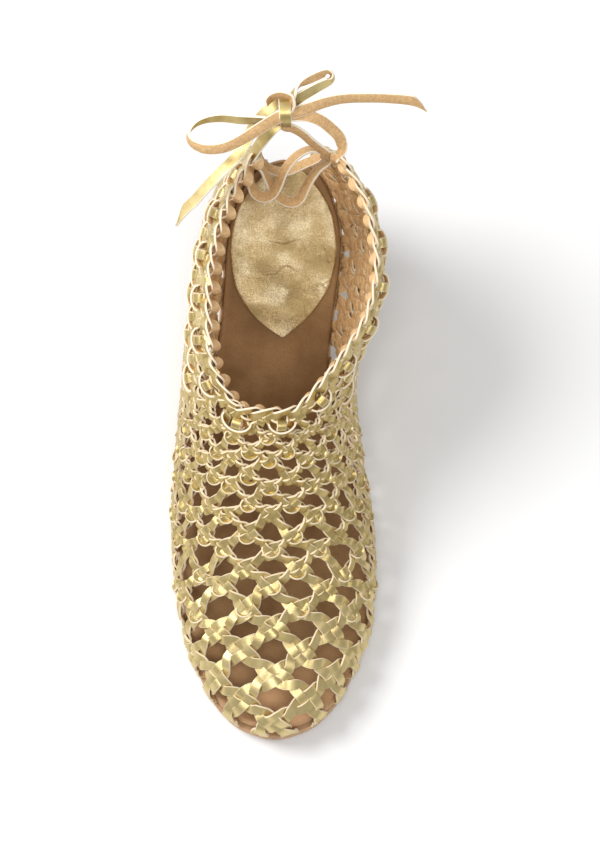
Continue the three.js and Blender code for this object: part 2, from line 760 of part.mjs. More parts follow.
const TALL = vec(0, 0.3, 1);
const FLAT = vec(0, 1, 0.2);
const bowLoopLateral = strap(
  [
    fromKnot(-4.2, 1.8, 1.5),
    fromKnot(-20, 3, 5),
    fromKnot(-34, -3, 4),
    fromKnot(-38, -11, 0),
    fromKnot(-30, -14, -2),
    fromKnot(-16, -8, 0.5),
    fromKnot(-4.4, -2.6, 1.8),
  ],
  range(7).map(() => TALL),
  27,
);
const bowLoopMedial = strap(
  [
    fromKnot(2.2, 3, 5.2),
    fromKnot(9, 9, 8),
    fromKnot(18, 14, 8),
    fromKnot(19.5, 12, 4),
    fromKnot(12, 7.5, 2),
    fromKnot(4.6, 4, 1),
  ],
  range(6).map(() => TALL),
  21,
);
const bowTailLateral = strap(
  [
    fromKnot(-2.3, -4.7, -2.7),
    fromKnot(-13, -13, -6),
    fromKnot(-28, -22, -9),
    fromKnot(-40, -31, -20),
    fromKnot(-47.5, -37, -32),
  ],
  [FLAT, FLAT, vec(0.6, 1, 0.2), vec(0.7, 0.8, 0.2), vec(0.7, 0.8, 0.2)],
  19,
);
const bowTailMedial = strap(
  [
    fromKnot(4.5, 2.4, -3.2),
    fromKnot(14, 5, -3),
    fromKnot(28, 6.5, -1),
    fromKnot(44, 6, -3),
    fromKnot(58, 2.5, -8),
  ],
  [TALL, TALL, FLAT, FLAT, FLAT],
  19,
);

const PIECES = [
  { name: "outsole", geometry: outsole, finish: FINISH.soleLeather },
  { name: "heel_block", geometry: heelBlock, finish: FINISH.heelLeather },
  { name: "top_lift", geometry: topLift, finish: FINISH.rubber },
  { name: "footbed", geometry: footbed, finish: FINISH.footbedLeather },
  { name: "heel_pad", geometry: heelPad, finish: FINISH.giltPad },
  { name: "upper", geometry: upper, finish: FINISH.giltStrip },
  { name: "lace_crossing", geometry: laceCrossing, finish: FINISH.giltStrip },
  { name: "lace_bar_low", geometry: laceBarLow, finish: FINISH.giltStrip },
  { name: "lace_rise_lateral", geometry: cornerRise(LATERAL), finish: FINISH.giltStrip },
  { name: "lace_rise_medial", geometry: cornerRise(MEDIAL), finish: FINISH.giltStrip },
  { name: "bow_knot", geometry: bowKnot, finish: FINISH.giltStrip },
  { name: "bow_loop_lateral", geometry: bowLoopLateral, finish: FINISH.giltStrip },
  { name: "bow_loop_medial", geometry: bowLoopMedial, finish: FINISH.giltStrip },
  { name: "bow_tail_lateral", geometry: bowTailLateral, finish: FINISH.giltStrip },
  { name: "bow_tail_medial", geometry: bowTailMedial, finish: FINISH.giltStrip },
];

const boot = new THREE.Group();
boot.name = "heeled_boot";
PIECES.forEach(({ name, geometry, finish }) => {
  const mesh = new THREE.Mesh(geometry, new THREE.MeshStandardMaterial(finish));
  mesh.name = name;
  boot.add(mesh);
});

export default boot;
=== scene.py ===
import math

import bpy
import numpy as np
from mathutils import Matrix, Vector


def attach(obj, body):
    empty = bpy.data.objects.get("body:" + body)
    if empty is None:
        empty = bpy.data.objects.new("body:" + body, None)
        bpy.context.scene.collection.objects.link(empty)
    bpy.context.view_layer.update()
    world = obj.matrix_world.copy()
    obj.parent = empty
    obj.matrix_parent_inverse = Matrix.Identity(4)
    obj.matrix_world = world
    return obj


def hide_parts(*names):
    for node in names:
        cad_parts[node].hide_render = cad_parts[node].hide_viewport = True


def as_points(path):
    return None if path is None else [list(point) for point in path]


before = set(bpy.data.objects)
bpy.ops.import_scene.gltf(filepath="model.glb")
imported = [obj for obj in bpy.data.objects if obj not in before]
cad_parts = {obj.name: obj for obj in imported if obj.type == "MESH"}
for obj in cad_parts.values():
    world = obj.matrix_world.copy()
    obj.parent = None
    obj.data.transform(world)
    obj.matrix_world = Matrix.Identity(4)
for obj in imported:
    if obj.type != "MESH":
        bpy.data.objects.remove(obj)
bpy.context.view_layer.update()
mm = 0.001

# camera: high in front of the toe, worked out for a 600 x 852 picture
cameraView = {
    "target": (0.009, 0.036, 0.050),
    "elevation": 74,
    "distance": 1.25,
    "pixelsPerMetre": 2330,
    "longSide": 852,
    "sensor": 36,
}


def makeCamera(view):
    # focal length = sensor * pixels per metre * distance / long side of the picture
    data = bpy.data.cameras.new("camera")
    data.sensor_width = view["sensor"]
    data.lens = view["sensor"] * view["pixelsPerMetre"] * view["distance"] / view["longSide"]
    camera = bpy.data.objects.new("camera", data)
    tilt = math.radians(view["elevation"])
    back = Vector((0, -math.cos(tilt), math.sin(tilt)))
    camera.location = Vector(view["target"]) + back * view["distance"]
    camera.rotation_euler = (-back).to_track_quat("-Z", "Y").to_euler()
    bpy.context.scene.collection.objects.link(camera)
    bpy.context.scene.camera = camera


makeCamera(cameraView)
print("camera placed")


# curves and vectors
def smoothThrough(xs, ys):
    # cubic through the points, level where the rise turns: harmonic mean of neighbouring rises as slope
    xs, ys = np.asarray(xs, float), np.asarray(ys, float)
    ys = ys.reshape(len(xs), -1)
    step = np.diff(xs)[:, None]
    rise = np.diff(ys, axis=0) / step

    def endSlope(near, far, nearRise, farRise):
        # slope of a parabola through the three end points, level if it would turn back
        slope = ((2 * near + far) * nearRise - near * farRise) / (near + far)
        return np.where(slope * nearRise <= 0, 0, slope)

    before, after = 2 * step[1:] + step[:-1], step[1:] + 2 * step[:-1]
    turns = rise[:-1] * rise[1:] <= 0
    safe = [np.where(turns, 1, part) for part in (rise[:-1], rise[1:])]
    inner = np.where(turns, 0, (before + after) / (before / safe[0] + after / safe[1]))
    first = endSlope(step[0], step[1], rise[0], rise[1])
    last = endSlope(step[-1], step[-2], rise[-1], rise[-2])
    slope = np.vstack([first, inner, last])

    def at(x):
        # cubic between the two neighbouring points, from their heights and slopes
        x = np.asarray(x, float)
        flat = x.ravel()
        k = np.clip(np.searchsorted(xs, flat, side="right") - 1, 0, len(xs) - 2)
        t = ((flat - xs[k]) / step[k, 0])[:, None]
        near = (1 + 2 * t) * (1 - t) ** 2 * ys[k] + t * (1 - t) ** 2 * step[k] * slope[k]
        far = (3 - 2 * t) * t**2 * ys[k + 1] + (t - 1) * t**2 * step[k] * slope[k + 1]
        return (near + far).reshape(x.shape + ((ys.shape[1],) if ys.shape[1] > 1 else ()))

    return at


def unit(vectors):
    # vector / its length
    return vectors / np.maximum(np.linalg.norm(vectors, axis=-1, keepdims=True), 1e-9)


def square(vectors, along):
    # part of each vector that is square to a direction, brought to length 1
    return unit(vectors - along * (vectors * along).sum(1, keepdims=True))


def runAlong(points):
    # distance from the first point to each point, along the line
    return np.r_[0, np.cumsum(np.linalg.norm(np.diff(points, axis=0), axis=1))]


def soften(values, reach):
    # mean of each value and its neighbours within reach
    count = 2 * reach + 1
    return np.convolve(np.pad(values, reach, mode="edge"), np.ones(count) / count, mode="valid")


def looseCurve(points, count):
    # centripetal spline through points: knots spaced by the root of each chord, Barry-Goldman blending
    points = np.asarray(points, float)
    points = np.vstack([2 * points[0] - points[1], points, 2 * points[-1] - points[-2]])
    knots = np.r_[0, np.cumsum(np.sqrt(np.linalg.norm(np.diff(points, axis=0), axis=1)))]
    place = np.linspace(0, len(points) - 3 - 1e-9, count)
    k = place.astype(int)
    p = [points[k + n] for n in range(4)]
    s = [knots[k + n][:, None] for n in range(4)]
    t = s[1] + (s[2] - s[1]) * (place - k)[:, None]

    def blend(a, b, ta, tb):
        # straight from a at knot ta to b at knot tb
        return a * (tb - t) / (tb - ta) + b * (t - ta) / (tb - ta)

    first = [blend(p[n], p[n + 1], s[n], s[n + 1]) for n in range(3)]
    second = [blend(first[n], first[n + 1], s[n], s[n + 2]) for n in range(2)]
    return blend(second[0], second[1], s[1], s[2])


def turnBetween(vectors, count):
    # directions at even places between the given ones, straight between neighbours, then softened
    vectors = np.asarray(vectors, float)
    place = np.linspace(0, len(vectors) - 1, count)
    turned = [np.interp(place, np.arange(len(vectors)), part) for part in vectors.T]
    return np.stack([soften(part, 4) for part in turned], -1)


# the last, in millimetres: the same sections that the solids have
soleSide = smoothThrough(
    [-96, -64, -32, 14, 42, 70, 100, 128, 156], [9.2, 2.4, 0, 0, 8.5, 25, 43, 55.5, 62]
)
layers = {
    "outsole": 3.6,
    "outsoleGrow": 1.0,
    "footbedLow": 5.8,
    "footbedHigh": 9.8,
    "feather": 7.8,
    "wallSeat": 1.7,
    "pad": (10.1, 10.9),
}
outline = {
    "y": [-92, -88.5, -78, -58, -30, -2, 26, 52, 74, 96, 118, 137, 148.2, 152],
    "lateral": [-2, -14.5, -26.2, -35.8, -42, -43.6, -40.5, -33.5, -28, -24.6, -22.6, -17.3, -8.8, 3],
    "medial": [-2, 11, 23, 33, 39.2, 38, 31.8, 24.2, 21.4, 24, 26.8, 22.5, 14.6, 3],
}
# rows from toe to throat: x, y, z of the crest, then how far the handles stand out, up, out and down
crest = [
    [-2, -92.2, 15.7, 0, 0, 0, 0],
    [-2, -88, 25.5, 1, 6, 6, 0.5],
    [-2, -79, 31, 1.5, 10, 12, 1],
    [-2.5, -59, 36.5, 2, 14, 21, 1.5],
    [-3, -32, 45.5, 3, 19, 27, 2],
    [-3.5, -11, 57.5, 4.5, 25, 30, 2.5],
    [-4, 9, 73.5, 9, 31, 32, 2],
    [-5, 28.6, 93, 15, 34, 34, 1],
]
# rows behind the throat: y, z, lateral x, medial x of the collar, then the same four handles
collar = [
    [53, 101.5, -29.2, 28.3, 14, 24, 12, 22],
    [69, 110, -29.6, 38, 13, 21, 10, 19],
    [85, 118, -28.4, 41, 11, 20, 9, 19],
    [104, 128, -23, 37.6, 9, 21, 8, 20],
    [125, 139, -10, 25.2, 5, 22, 5, 22],
]
medialTopOut = 0.45  # the medial wall stands straighter under the collar
net = {
    "throatLine": 18,
    "backLine": 32,
    "collarColumn": 2,
    "rowStep": 11.1,
    "rowShrink": 0.954,
    "columnStep": 15,
    "columnShrink": 0.955,
    "quarterStep": 7.4,
}
throatRow, backRow, heelRow = 7, 12, 13
sideSign = (-1, 1)  # lateral, medial
rowNumbers = np.arange(heelRow + 1)
outlineY = smoothThrough(rowNumbers, outline["y"])
outlineX = [smoothThrough(rowNumbers, outline[side]) for side in ("lateral", "medial")]


def bedPoint(x, y, lift):
    # point lifted square to the sole's underside
    slope = np.arctan(soleSide(y + 0.5) - soleSide(y - 0.5))
    return np.stack([x, y - lift * np.sin(slope), soleSide(y) + lift * np.cos(slope)], -1)


def edgePlan(side, row, grow):
    # footbed's edge at a row, moved along its outward direction
    before, after = np.maximum(row - 0.01, 0), np.minimum(row + 0.01, heelRow)
    along = np.stack(
        [outlineX[side](after) - outlineX[side](before), outlineY(after) - outlineY(before)], -1
    )
    along = unit(along) * -sideSign[side]
    out = np.stack([-along[..., 1], along[..., 0], np.zeros_like(row)], -1)
    return outlineX[side](row) + out[..., 0] * grow, outlineY(row) + out[..., 1] * grow, out


def edgePoint(side, row, grow, lift):
    # edge's place moved outwards, then lifted square to the sole
    x, y = edgePlan(side, np.asarray(row, float), grow)[:2]
    return bedPoint(x, y, lift)


def sectionHandles(side, row, crown, shape, across=None):
    # foot, low, top and crown of one section's cubic curve
    lowOut, lowUp, topOut, topDrop = shape
    x, y, out = edgePlan(side, np.array(float(row)), layers["wallSeat"])
    foot = bedPoint(x, y, layers["feather"])
    low = foot + out * lowOut + np.array([0, 0, lowUp])
    top = crown + (out if across is None else across) * topOut - np.array([0, 0, topDrop])
    return np.stack([foot, low, top, crown])


def bezier(handles, t):
    # cubic of four handles; handles (..., 4, 3), t (...)
    t = t[..., None]
    s = 1 - t
    foot, low, top, crown = (handles[..., k, :] for k in range(4))
    return foot * s**3 + low * (3 * s * s * t) + top * (3 * s * t * t) + crown * t**3


sectionSteps = 32


def sectionRun(handles):
    # distance from the crown to each even step of a section's parameter
    grid = np.linspace(1, 0, sectionSteps + 1)
    points = bezier(handles[:, None], np.broadcast_to(grid, (len(handles), sectionSteps + 1)))
    steps = np.linalg.norm(np.diff(points, axis=1), axis=2)
    return np.hstack([np.zeros((len(handles), 1)), np.cumsum(steps, axis=1)])


def sectionParameter(handles, reach):
    # curve's parameter at a distance from the crown, straight between two steps
    run = sectionRun(handles)
    k = np.clip((run <= reach[:, None]).sum(1) - 1, 0, sectionSteps - 1)
    pick = np.arange(len(k))
    part = (reach - run[pick, k]) / np.maximum(run[pick, k + 1] - run[pick, k], 1e-6)
    return 1 - (k + np.minimum(part, 1)) / sectionSteps


def columnStep(line):
    # half column's width: shrinks along the vamp, then goes evenly to the quarter's
    vamp = net["columnStep"] * net["columnShrink"] ** np.clip(line, 0, net["throatLine"])
    part = np.clip((line - net["throatLine"]) / (net["backLine"] - net["throatLine"]), 0, 1)
    return vamp + (net["quarterStep"] - vamp) * part


collarStart = float(net["collarColumn"] * columnStep(np.array(float(net["throatLine"]))))


def lowerPart(handles, t):
    # part of a cubic below t, by repeated halving of its handles
    a, b, c, d = handles
    ab, bc, cd = a + (b - a) * t, b + (c - b) * t, c + (d - c) * t
    abc, bcd = ab + (bc - ab) * t, bc + (cd - bc) * t
    return np.stack([a, ab, abc, abc + (bcd - abc) * t])


def lastSections(side):
    # handles of each row, the first shrunk to the toe's tip, with smooth curves through them along the rows
    tip = edgePoint(side, 0.0, layers["wallSeat"], layers["feather"])
    across = np.array([sideSign[side], 0, 0])
    vamp = [np.stack([tip] * 4)]
    for row, shape in enumerate(crest[1:], 1):
        vamp.append(sectionHandles(side, row, np.array(shape[:3], float), shape[3:], across))
    throat = vamp[throatRow]
    start = sectionParameter(throat[None], np.array([collarStart]))[0]
    quarter = [lowerPart(throat, start)]
    for k, shape in enumerate(collar):
        crown = np.array([shape[2 + side], shape[0], shape[1]], float)
        lowOut, lowUp, topOut, topDrop = shape[4:]
        topOut = topOut * (1, medialTopOut)[side]
        quarter.append(sectionHandles(side, throatRow + 1 + k, crown, (lowOut, lowUp, topOut, topDrop)))
    vampCurve = smoothThrough(np.arange(throatRow + 1), vamp)
    quarterCurve = smoothThrough(np.arange(throatRow, backRow + 1), quarter)
    return vampCurve, quarterCurve


sections = [lastSections(side) for side in (0, 1)]
# how the strips turn round the footbed's edge: distance past it, place beyond the edge, level
turnUnder = {
    "run": [0, 1.2, 2.2, 3.2, 4.4, 12],
    "grow": [1.7, 1.75, 1.4, 0.7, -0.4, -8],
    "lift": [7.8, 6.6, 5.6, 4.9, 4.7, 4.7],
}


def eachSection(row, girth):
    # splits places by side and by vamp or quarter; yields picks, handles and where the section starts
    for side in (0, 1):
        for part, start in ((0, 0.0), (1, collarStart)):
            pick = np.flatnonzero(((girth >= 0) == (side == 1)) & ((row > throatRow) == (part == 1)))
            if len(pick):
                handles = sections[side][part](row[pick]).reshape(-1, 4, 3)
                yield side, pick, handles, start


def wallGirth(row, girth):
    # girth at which the wall meets the footbed's edge, on the side of the given girth
    length = np.zeros(len(row))
    for side, pick, handles, start in eachSection(row, girth):
        length[pick] = start + sectionRun(handles)[:, -1]
    return length


def wallPoint(row, girth):
    # middle surface of the upper; past the footbed's edge it turns under
    points = np.zeros((len(row), 3))
    for side, pick, handles, start in eachSection(row, girth):
        reach = np.abs(girth[pick]) - start
        run = sectionRun(handles)
        points[pick] = bezier(handles, sectionParameter(handles, reach))
        past = reach - run[:, -1]
        under = past > 0
        if under.any():
            grow = np.interp(past[under], turnUnder["run"], turnUnder["grow"])
            lift = np.interp(past[under], turnUnder["run"], turnUnder["lift"])
            points[pick[under]] = edgePoint(side, row[pick[under]], grow, lift)
    return points


def wallNormal(row, girth):
    # across x along, by small steps that stay on the same part of the wall
    small, turn = 0.03, 0.35
    low = np.where(row > throatRow, throatRow + 1e-6, 0.02)
    high = np.where(row > throatRow, backRow, throatRow)
    ahead, behind = np.minimum(row + small, high), np.maximum(row - small, low)
    along = wallPoint(ahead, girth) - wallPoint(behind, girth)
    inner = np.where((row > throatRow) & (np.abs(girth) < collarStart + turn), turn, 0)
    middle = girth + np.sign(girth) * inner
    across = wallPoint(row, middle + turn) - wallPoint(row, middle - turn)
    return unit(np.cross(across, along))


crestPlaces = np.linspace(0, throatRow, 161)
crestPoints = sections[0][0](crestPlaces)[:, 9:]
crestRun = runAlong(crestPoints)
crestRowAt = smoothThrough(crestRun, crestPlaces)


def lineRow(line):
    # rows of the net: distances to the throat form a shrinking series, then even steps to the back
    shrink, throat = net["rowShrink"], net["throatLine"]
    toThroat = net["rowStep"] * (shrink ** np.clip(line, 0, throat) - shrink**throat) / (1 - shrink)
    vamp = crestRowAt(crestRun[-1] - toThroat)
    vamp = np.where(line < 0, vamp * (1 + line), vamp)
    part = (line - throat) / (net["backLine"] - throat)
    return np.where(line < throat, vamp, throatRow + (backRow - throatRow) * part)


def netPlace(line, column):
    # row and girth of a place of the net
    beyond = line > net["throatLine"]
    step = columnStep(line)
    reach = np.abs(column)
    girth = np.where(beyond, collarStart + (reach - net["collarColumn"]) * step, reach * step)
    return lineRow(line), np.where(column < 0, -girth, girth)


print("last worked out")


# meshes
sharpAngle = 38


def addPiece(name, points, faces, material, uv=None):
    # points in millimetres, faces as rows of corners, uv one pair per corner
    mesh = bpy.data.meshes.new(name)
    points = np.asarray(points, np.float32) * mm
    corners = np.concatenate([part.ravel() for part in faces]).astype(np.int32)
    sizes = np.concatenate([np.full(len(part), part.shape[1]) for part in faces])
    mesh.vertices.add(len(points))
    mesh.vertices.foreach_set("co", points.ravel())
    mesh.loops.add(len(corners))
    mesh.loops.foreach_set("vertex_index", corners)
    mesh.polygons.add(len(sizes))
    mesh.polygons.foreach_set("loop_start", np.r_[0, np.cumsum(sizes)[:-1]].astype(np.int32))
    if uv is not None:
        layer = mesh.uv_layers.new(name="run")
        layer.data.foreach_set("uv", np.concatenate(uv).astype(np.float32).ravel())
    mesh.polygons.foreach_set("use_smooth", np.full(len(sizes), True))
    mesh.update(calc_edges=True)
    mesh.validate()
    mesh.set_sharp_from_angle(angle=math.radians(sharpAngle))
    mesh.materials.append(material)
    piece = bpy.data.objects.new(name, mesh)
    bpy.context.scene.collection.objects.link(piece)
    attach(piece, "root")
    return piece


# strip's section: across, through, and how far round it the place is (face 0-0.4, edge, back 0.5-0.9, edge)
stripRing = np.array([
    [-0.455, 0.46, 0.0],
    [0.0, 0.52, 0.2],
    [0.455, 0.46, 0.4],
    [0.5, 0.2, 0.43],
    [0.5, -0.36, 0.48],
    [0.44, -0.5, 0.51],
    [-0.44, -0.5, 0.89],
    [-0.5, -0.36, 0.92],
    [-0.5, 0.2, 0.97],
])
stripMap = {"perMillimetre": 0.1, "cap": 0.45, "apart": 3.7}


def sweepStrip(path, across, width, thick):
    # ring carried along a path: place = path + across * width * a + (path's direction x across) * thick * b
    path = np.asarray(path, float)
    along = unit(np.gradient(path, axis=0))
    across = square(across, along)
    face = np.cross(along, across)
    width = np.broadcast_to(width, len(path))[:, None, None]
    points = path[:, None] + across[:, None] * width * stripRing[None, :, :1]
    points = points + face[:, None] * thick * stripRing[None, :, 1:2]
    return points.reshape(-1, 3), runAlong(path)


def ringQuads(count, size):
    # quads between neighbouring rings: a place, the same one of the next ring, then the two beside these
    r, k = np.meshgrid(np.arange(count - 1), np.arange(size), indexing="ij")
    here, beside = r * size + k, r * size + (k + 1) % size
    return np.stack([here, here + size, beside + size, beside], -1).reshape(-1, 4)


def stripFaces(count, start):
    # quads between neighbouring rings, and the two end caps
    size = len(stripRing)
    caps = np.stack([np.arange(size), (count - 1) * size + np.arange(size)[::-1]])
    return ringQuads(count, size) + start, caps + start


def stripUv(run, seed):
    # u round the strip, v along it in centimetres, each strip in a stretch of its own
    size, start = len(stripRing), seed * stripMap["apart"]
    turn = np.r_[stripRing[:, 2], 1.0]
    r, k = np.meshgrid(np.arange(len(run) - 1), np.arange(size), indexing="ij")
    u = np.stack([turn[k], turn[k], turn[k + 1], turn[k + 1]], -1)
    v = np.stack([run[r], run[r + 1], run[r + 1], run[r]], -1) * stripMap["perMillimetre"] + start
    return np.stack([u, v], -1).reshape(-1, 2), np.tile([stripMap["cap"], start], (2 * size, 1))


def joinStrips(name, strips, material):
    # strips is a list of (points, run); all of them become one mesh
    rings, runs = zip(*strips)
    starts = np.cumsum([0] + [len(ring) for ring in rings])
    quads, caps = zip(*[stripFaces(len(run), start) for run, start in zip(runs, starts)])
    quadUv, capUv = zip(*[stripUv(run, seed) for seed, run in enumerate(runs)])
    faces = [np.concatenate(quads), np.concatenate(caps)]
    return addPiece(name, np.concatenate(rings), faces, material, quadUv + capUv)


# shader sockets as values
class Wire:
    def __init__(self, tree, socket=None):
        self.tree, self.socket = tree, socket

    def make(self, kind, settings=None, inputs=None, out=0):
        # new node with its settings and its inputs, linked or set; gives one of its outputs
        node = self.tree.nodes.new(kind)
        for name, value in (settings or {}).items():
            setattr(node, name, value)
        for name, value in (inputs or {}).items():
            socket = node.inputs[name]
            if isinstance(value, Wire):
                self.tree.links.new(value.socket, socket)
            elif hasattr(value, "__len__") and len(value) == 3 and socket.type == "RGBA":
                socket.default_value = (*value, 1)
            else:
                socket.default_value = value
        return Wire(self.tree, node.outputs[out])

    def math(self, operation, first, second=0.0):
        # one operation on two values
        return self.make("ShaderNodeMath", {"operation": operation}, {0: first, 1: second})

    def __add__(self, other):
        return self.math("ADD", self, other)

    def __sub__(self, other):
        return self.math("SUBTRACT", self, other)

    def __rsub__(self, other):
        return self.math("SUBTRACT", other, self)

    def __mul__(self, other):
        return self.math("MULTIPLY", self, other)

    def __truediv__(self, other):
        return self.math("DIVIDE", self, other)

    __radd__, __rmul__ = __add__, __mul__

    def between(self, low, high):
        # 0 below low, 1 above high, smooth in between
        settings = {"interpolation_type": "SMOOTHSTEP"}
        return self.make("ShaderNodeMapRange", settings, {"Value": self, "From Min": low, "From Max": high})

    def mix(self, first, second):
        # colour between two, by this value
        settings = {"data_type": "RGBA"}
        return self.make("ShaderNodeMix", settings, {0: self, 6: first, 7: second}, 2)

    def noise(self, scale, detail=3, roughness=0.55):
        # soft noise at this place; scale in cells per metre
        inputs = {"Vector": self, "Scale": scale, "Detail": detail, "Roughness": roughness}
        return self.make("ShaderNodeTexNoise", {}, inputs)

    def axis(self, name):
        # one coordinate of this place
        return self.make("ShaderNodeSeparateXYZ", {}, {0: self}, "XYZ".index(name))

    def bump(self, strength, distance):
        # normal from this value as a height
        return self.make("ShaderNodeBump", {}, {"Strength": strength, "Distance": distance, "Height": self})


def newFinish(name):
    # material with one Principled shader; gives both, a wire to start from and the object's coordinates
    material = bpy.data.materials.new(name)
    material.use_nodes = True
    tree = material.node_tree
    shader = tree.nodes["Principled BSDF"]
    wire = Wire(tree)
    return material, shader, wire, wire.make("ShaderNodeTexCoord", out=3)


def feed(shader, **sockets):
    # links or values for the shader's sockets, named in camelCase
    names = {"colour": "Base Color", "roughness": "Roughness", "metallic": "Metallic", "normal": "Normal",
             "coat": "Coat Weight", "specular": "Specular IOR Level"}
    for name, value in sockets.items():
        socket = shader.inputs[names[name]]
        if isinstance(value, Wire):
            value.tree.links.new(value.socket, socket)
        else:
            socket.default_value = (*value, 1) if name == "colour" else value


# gilt leather strip: foil on the face, pale cut edges, suede back
giltStrip = {
    "gold": (0.51, 0.385, 0.15),
    "paleGold": (0.67, 0.54, 0.26),
    "edge": (0.76, 0.64, 0.44),
    "suede": (0.74, 0.48, 0.23),
    "darkSuede": (0.53, 0.32, 0.14),
    "faceTo": 0.395,
    "faceBlur": 0.008,
    "back": (0.505, 0.895),
    "soften": 0.04,
    # where the gold is paler at the toe (painted light) and duller at the throat (painted shade)
    "toe": (0.02, 0.075),
    "toePaintedLight": 0.75,
    "throat": (-0.01, 0.03, -0.06, -0.04),
    "throatPaintedShade": 0.8,
    "crackle": (2600, 4, 0.65),
    "cloud": (140, 3),
    "cloudFrom": (0.35, 0.65),
    "wear": (700, 5, 0.7),
    "wearFrom": (0.56, 0.70),
    "nap": (900, 4, 0.7),
    "napFrom": (0.3, 0.7),
    "relief": (0.22, 0.0003),
}
# lace leather: the same leather with a lighter cut edge, as painted light
laceLeatherLitEdge = {**giltStrip, "edge": (0.98, 0.91, 0.76), "soften": 0.01}
# collar strip: the same leather with lighter cut edges and suede, as painted light
collarStripLit = {
    **giltStrip, "edge": (0.85, 0.75, 0.58), "suede": (0.88, 0.60, 0.31), "darkSuede": (0.66, 0.42, 0.20)
}


def makeGiltStrip(name, look):
    # face, cut edge or back by the place round the strip; gold paler at the toe as painted light and duller
    # at the throat as painted shade
    material, shader, wire, place = newFinish(name)
    around = wire.make("ShaderNodeUVMap", {"uv_map": "run"}).axis("X")
    isFace = (look["faceTo"] - around).between(-look["faceBlur"], look["faceBlur"])
    first, last = look["back"]
    isBack = around.between(first - look["soften"], first) * (last - around).between(-look["soften"], 0.0)
    crackle, nap = place.noise(*look["crackle"]), place.noise(*look["nap"])
    cloud = place.noise(*look["cloud"]).between(*look["cloudFrom"])
    wear = place.noise(*look["wear"]).between(*look["wearFrom"])
    toeward = 0 - place.axis("Y")
    # masks of the painted light at the toe and of the painted shade at the throat, by distance along the
    # foot
    toe = toeward.between(*look["toe"])
    throat = (1 - toeward.between(*look["throat"][:2])) * toeward.between(*look["throat"][2:])
    # random pale clouds, fewer at the throat as painted shade, and paler gold at the toe as painted light
    pale = cloud * (1 - look["throatPaintedShade"] * throat)
    gold = (pale + look["toePaintedLight"] * toe * (1 - pale)).mix(look["gold"], look["paleGold"])
    suede = nap.between(*look["napFrom"]).mix(look["darkSuede"], look["suede"])
    colour = isBack.mix(isFace.mix(look["edge"], gold), suede)
    rough = isFace * (0.30 + 0.16 * crackle + 0.10 * wear) + (1 - isFace) * 0.78
    bump = (crackle + nap * (1 - isFace)).bump(*look["relief"])
    feed(shader, colour=colour, metallic=isFace * (0.86 - 0.25 * wear), roughness=rough, normal=bump)
    return material


giltStripFinish = makeGiltStrip("giltStrip", giltStrip)
collarFinish = makeGiltStrip("collarStripLit", collarStripLit)
laceFinish = makeGiltStrip("laceLeatherLitEdge", laceLeatherLitEdge)
print("strip finish made")

# upper: pairs of strips along both diagonals of the net; pairs cross in the knots and twist between them
lattice = {
    "samples": 16,
    "toeSamples": 40,
    "thick": 1.05,
    "tightest": 0.21,
    "turnReach": 9,
    "rimReach": 3.2,
    "rimSlant": 0.2,
    "lines": [-1, 2, 5, 8, 14, 17, 20, 32],
    "width": [4.3, 4.3, 4.2, 4.0, 3.7, 3.5, 4.9, 5.3],
    "apart": [2.15, 2.1, 1.8, 1.45, 1.25, 1.1, 2.2, 2.4],
    "rimGrow": [0, 0, 0, 0, 0, 0, 2.2, 2.4],
    "rimSide": (2.0, 0.2),
    "sideNarrow": [0, 0.05, 0.18, 0.36, 0.42, 0.36, 0, 0],
    "sideFrom": (0.2, 0.6),
    "pull": [0, 0, 0.15, 0.4, 0.55, 0.55, 0, 0],
    "pullSide": ((1, 4), (0.5, 1)),
    "swing": [0.78, 0.78, 0.78, 0.78, 0.78, 0.85, 1.0, 1.0],
    "gather": [0.1, 0.15, 0.5, 1, 1, 1, 0.3, 0.2],
    "legTurn": [0, 0.5, 1.8, 3.2, 4, 4.4, 0.6, 0.4],
    "sideTuck": [0, 0.2, 0.5, 0.7, 0.7, 0.6, 0, 0],
    "tuck": [0, 0, 0, 0, 0, 0, 0.35, 0.35],
    "slack": 1.0,
    "slackWave": 27,
    "unevenRoll": 7,
    "unevenBeat": (1.3, 2.4),
    "facing": 4,
    "rimRamp": 14,
    "squareness": 2.2,
    "overShape": 1.6,
    "knotSqueeze": 2.7,
    "fewest": 5,
    "offsets": (-52, 53, 2),
}


def handSlack(points, look):
    # hand-made unevenness: each axis shifts by a sine of a slanting distance
    slant = np.array([[0.8, 0.5, 0.3], [-0.4, 0.9, 0.5], [0.5, -0.6, 0.8]])
    start = np.array([0.4, 2.1, 3.9])
    return look["slack"] * np.sin(points @ slant.T * (2 * np.pi / look["slackWave"]) + start)


def overRim(row, past, look):
    # close to the footbed's edge a strip holds its row, so that it goes nearly straight over the edge
    inside = np.flatnonzero(past < -look["rimReach"])
    if len(inside) == 0:
        return row
    held = row[np.clip(np.arange(len(row)), inside[0], inside[-1])]
    bent = held + look["rimSlant"] * (row - held)
    return soften(bent, 3)


def knotPlace(line, column, look):
    # place of the net with its knots in double rows, fully so at the sides: the plain net's girth, and the
    # row of line - pull * (1 - cos(pi line)) / 2
    girth = netPlace(line, column)[1]
    pull = np.interp(line, look["lines"], look["pull"]) * np.interp(np.abs(column), *look["pullSide"])
    row = lineRow(line - pull * (1 - np.cos(np.pi * line)) / 2)
    return np.maximum(row, 0.03), np.where(np.abs(girth) < 1e-6, 1e-6, girth)


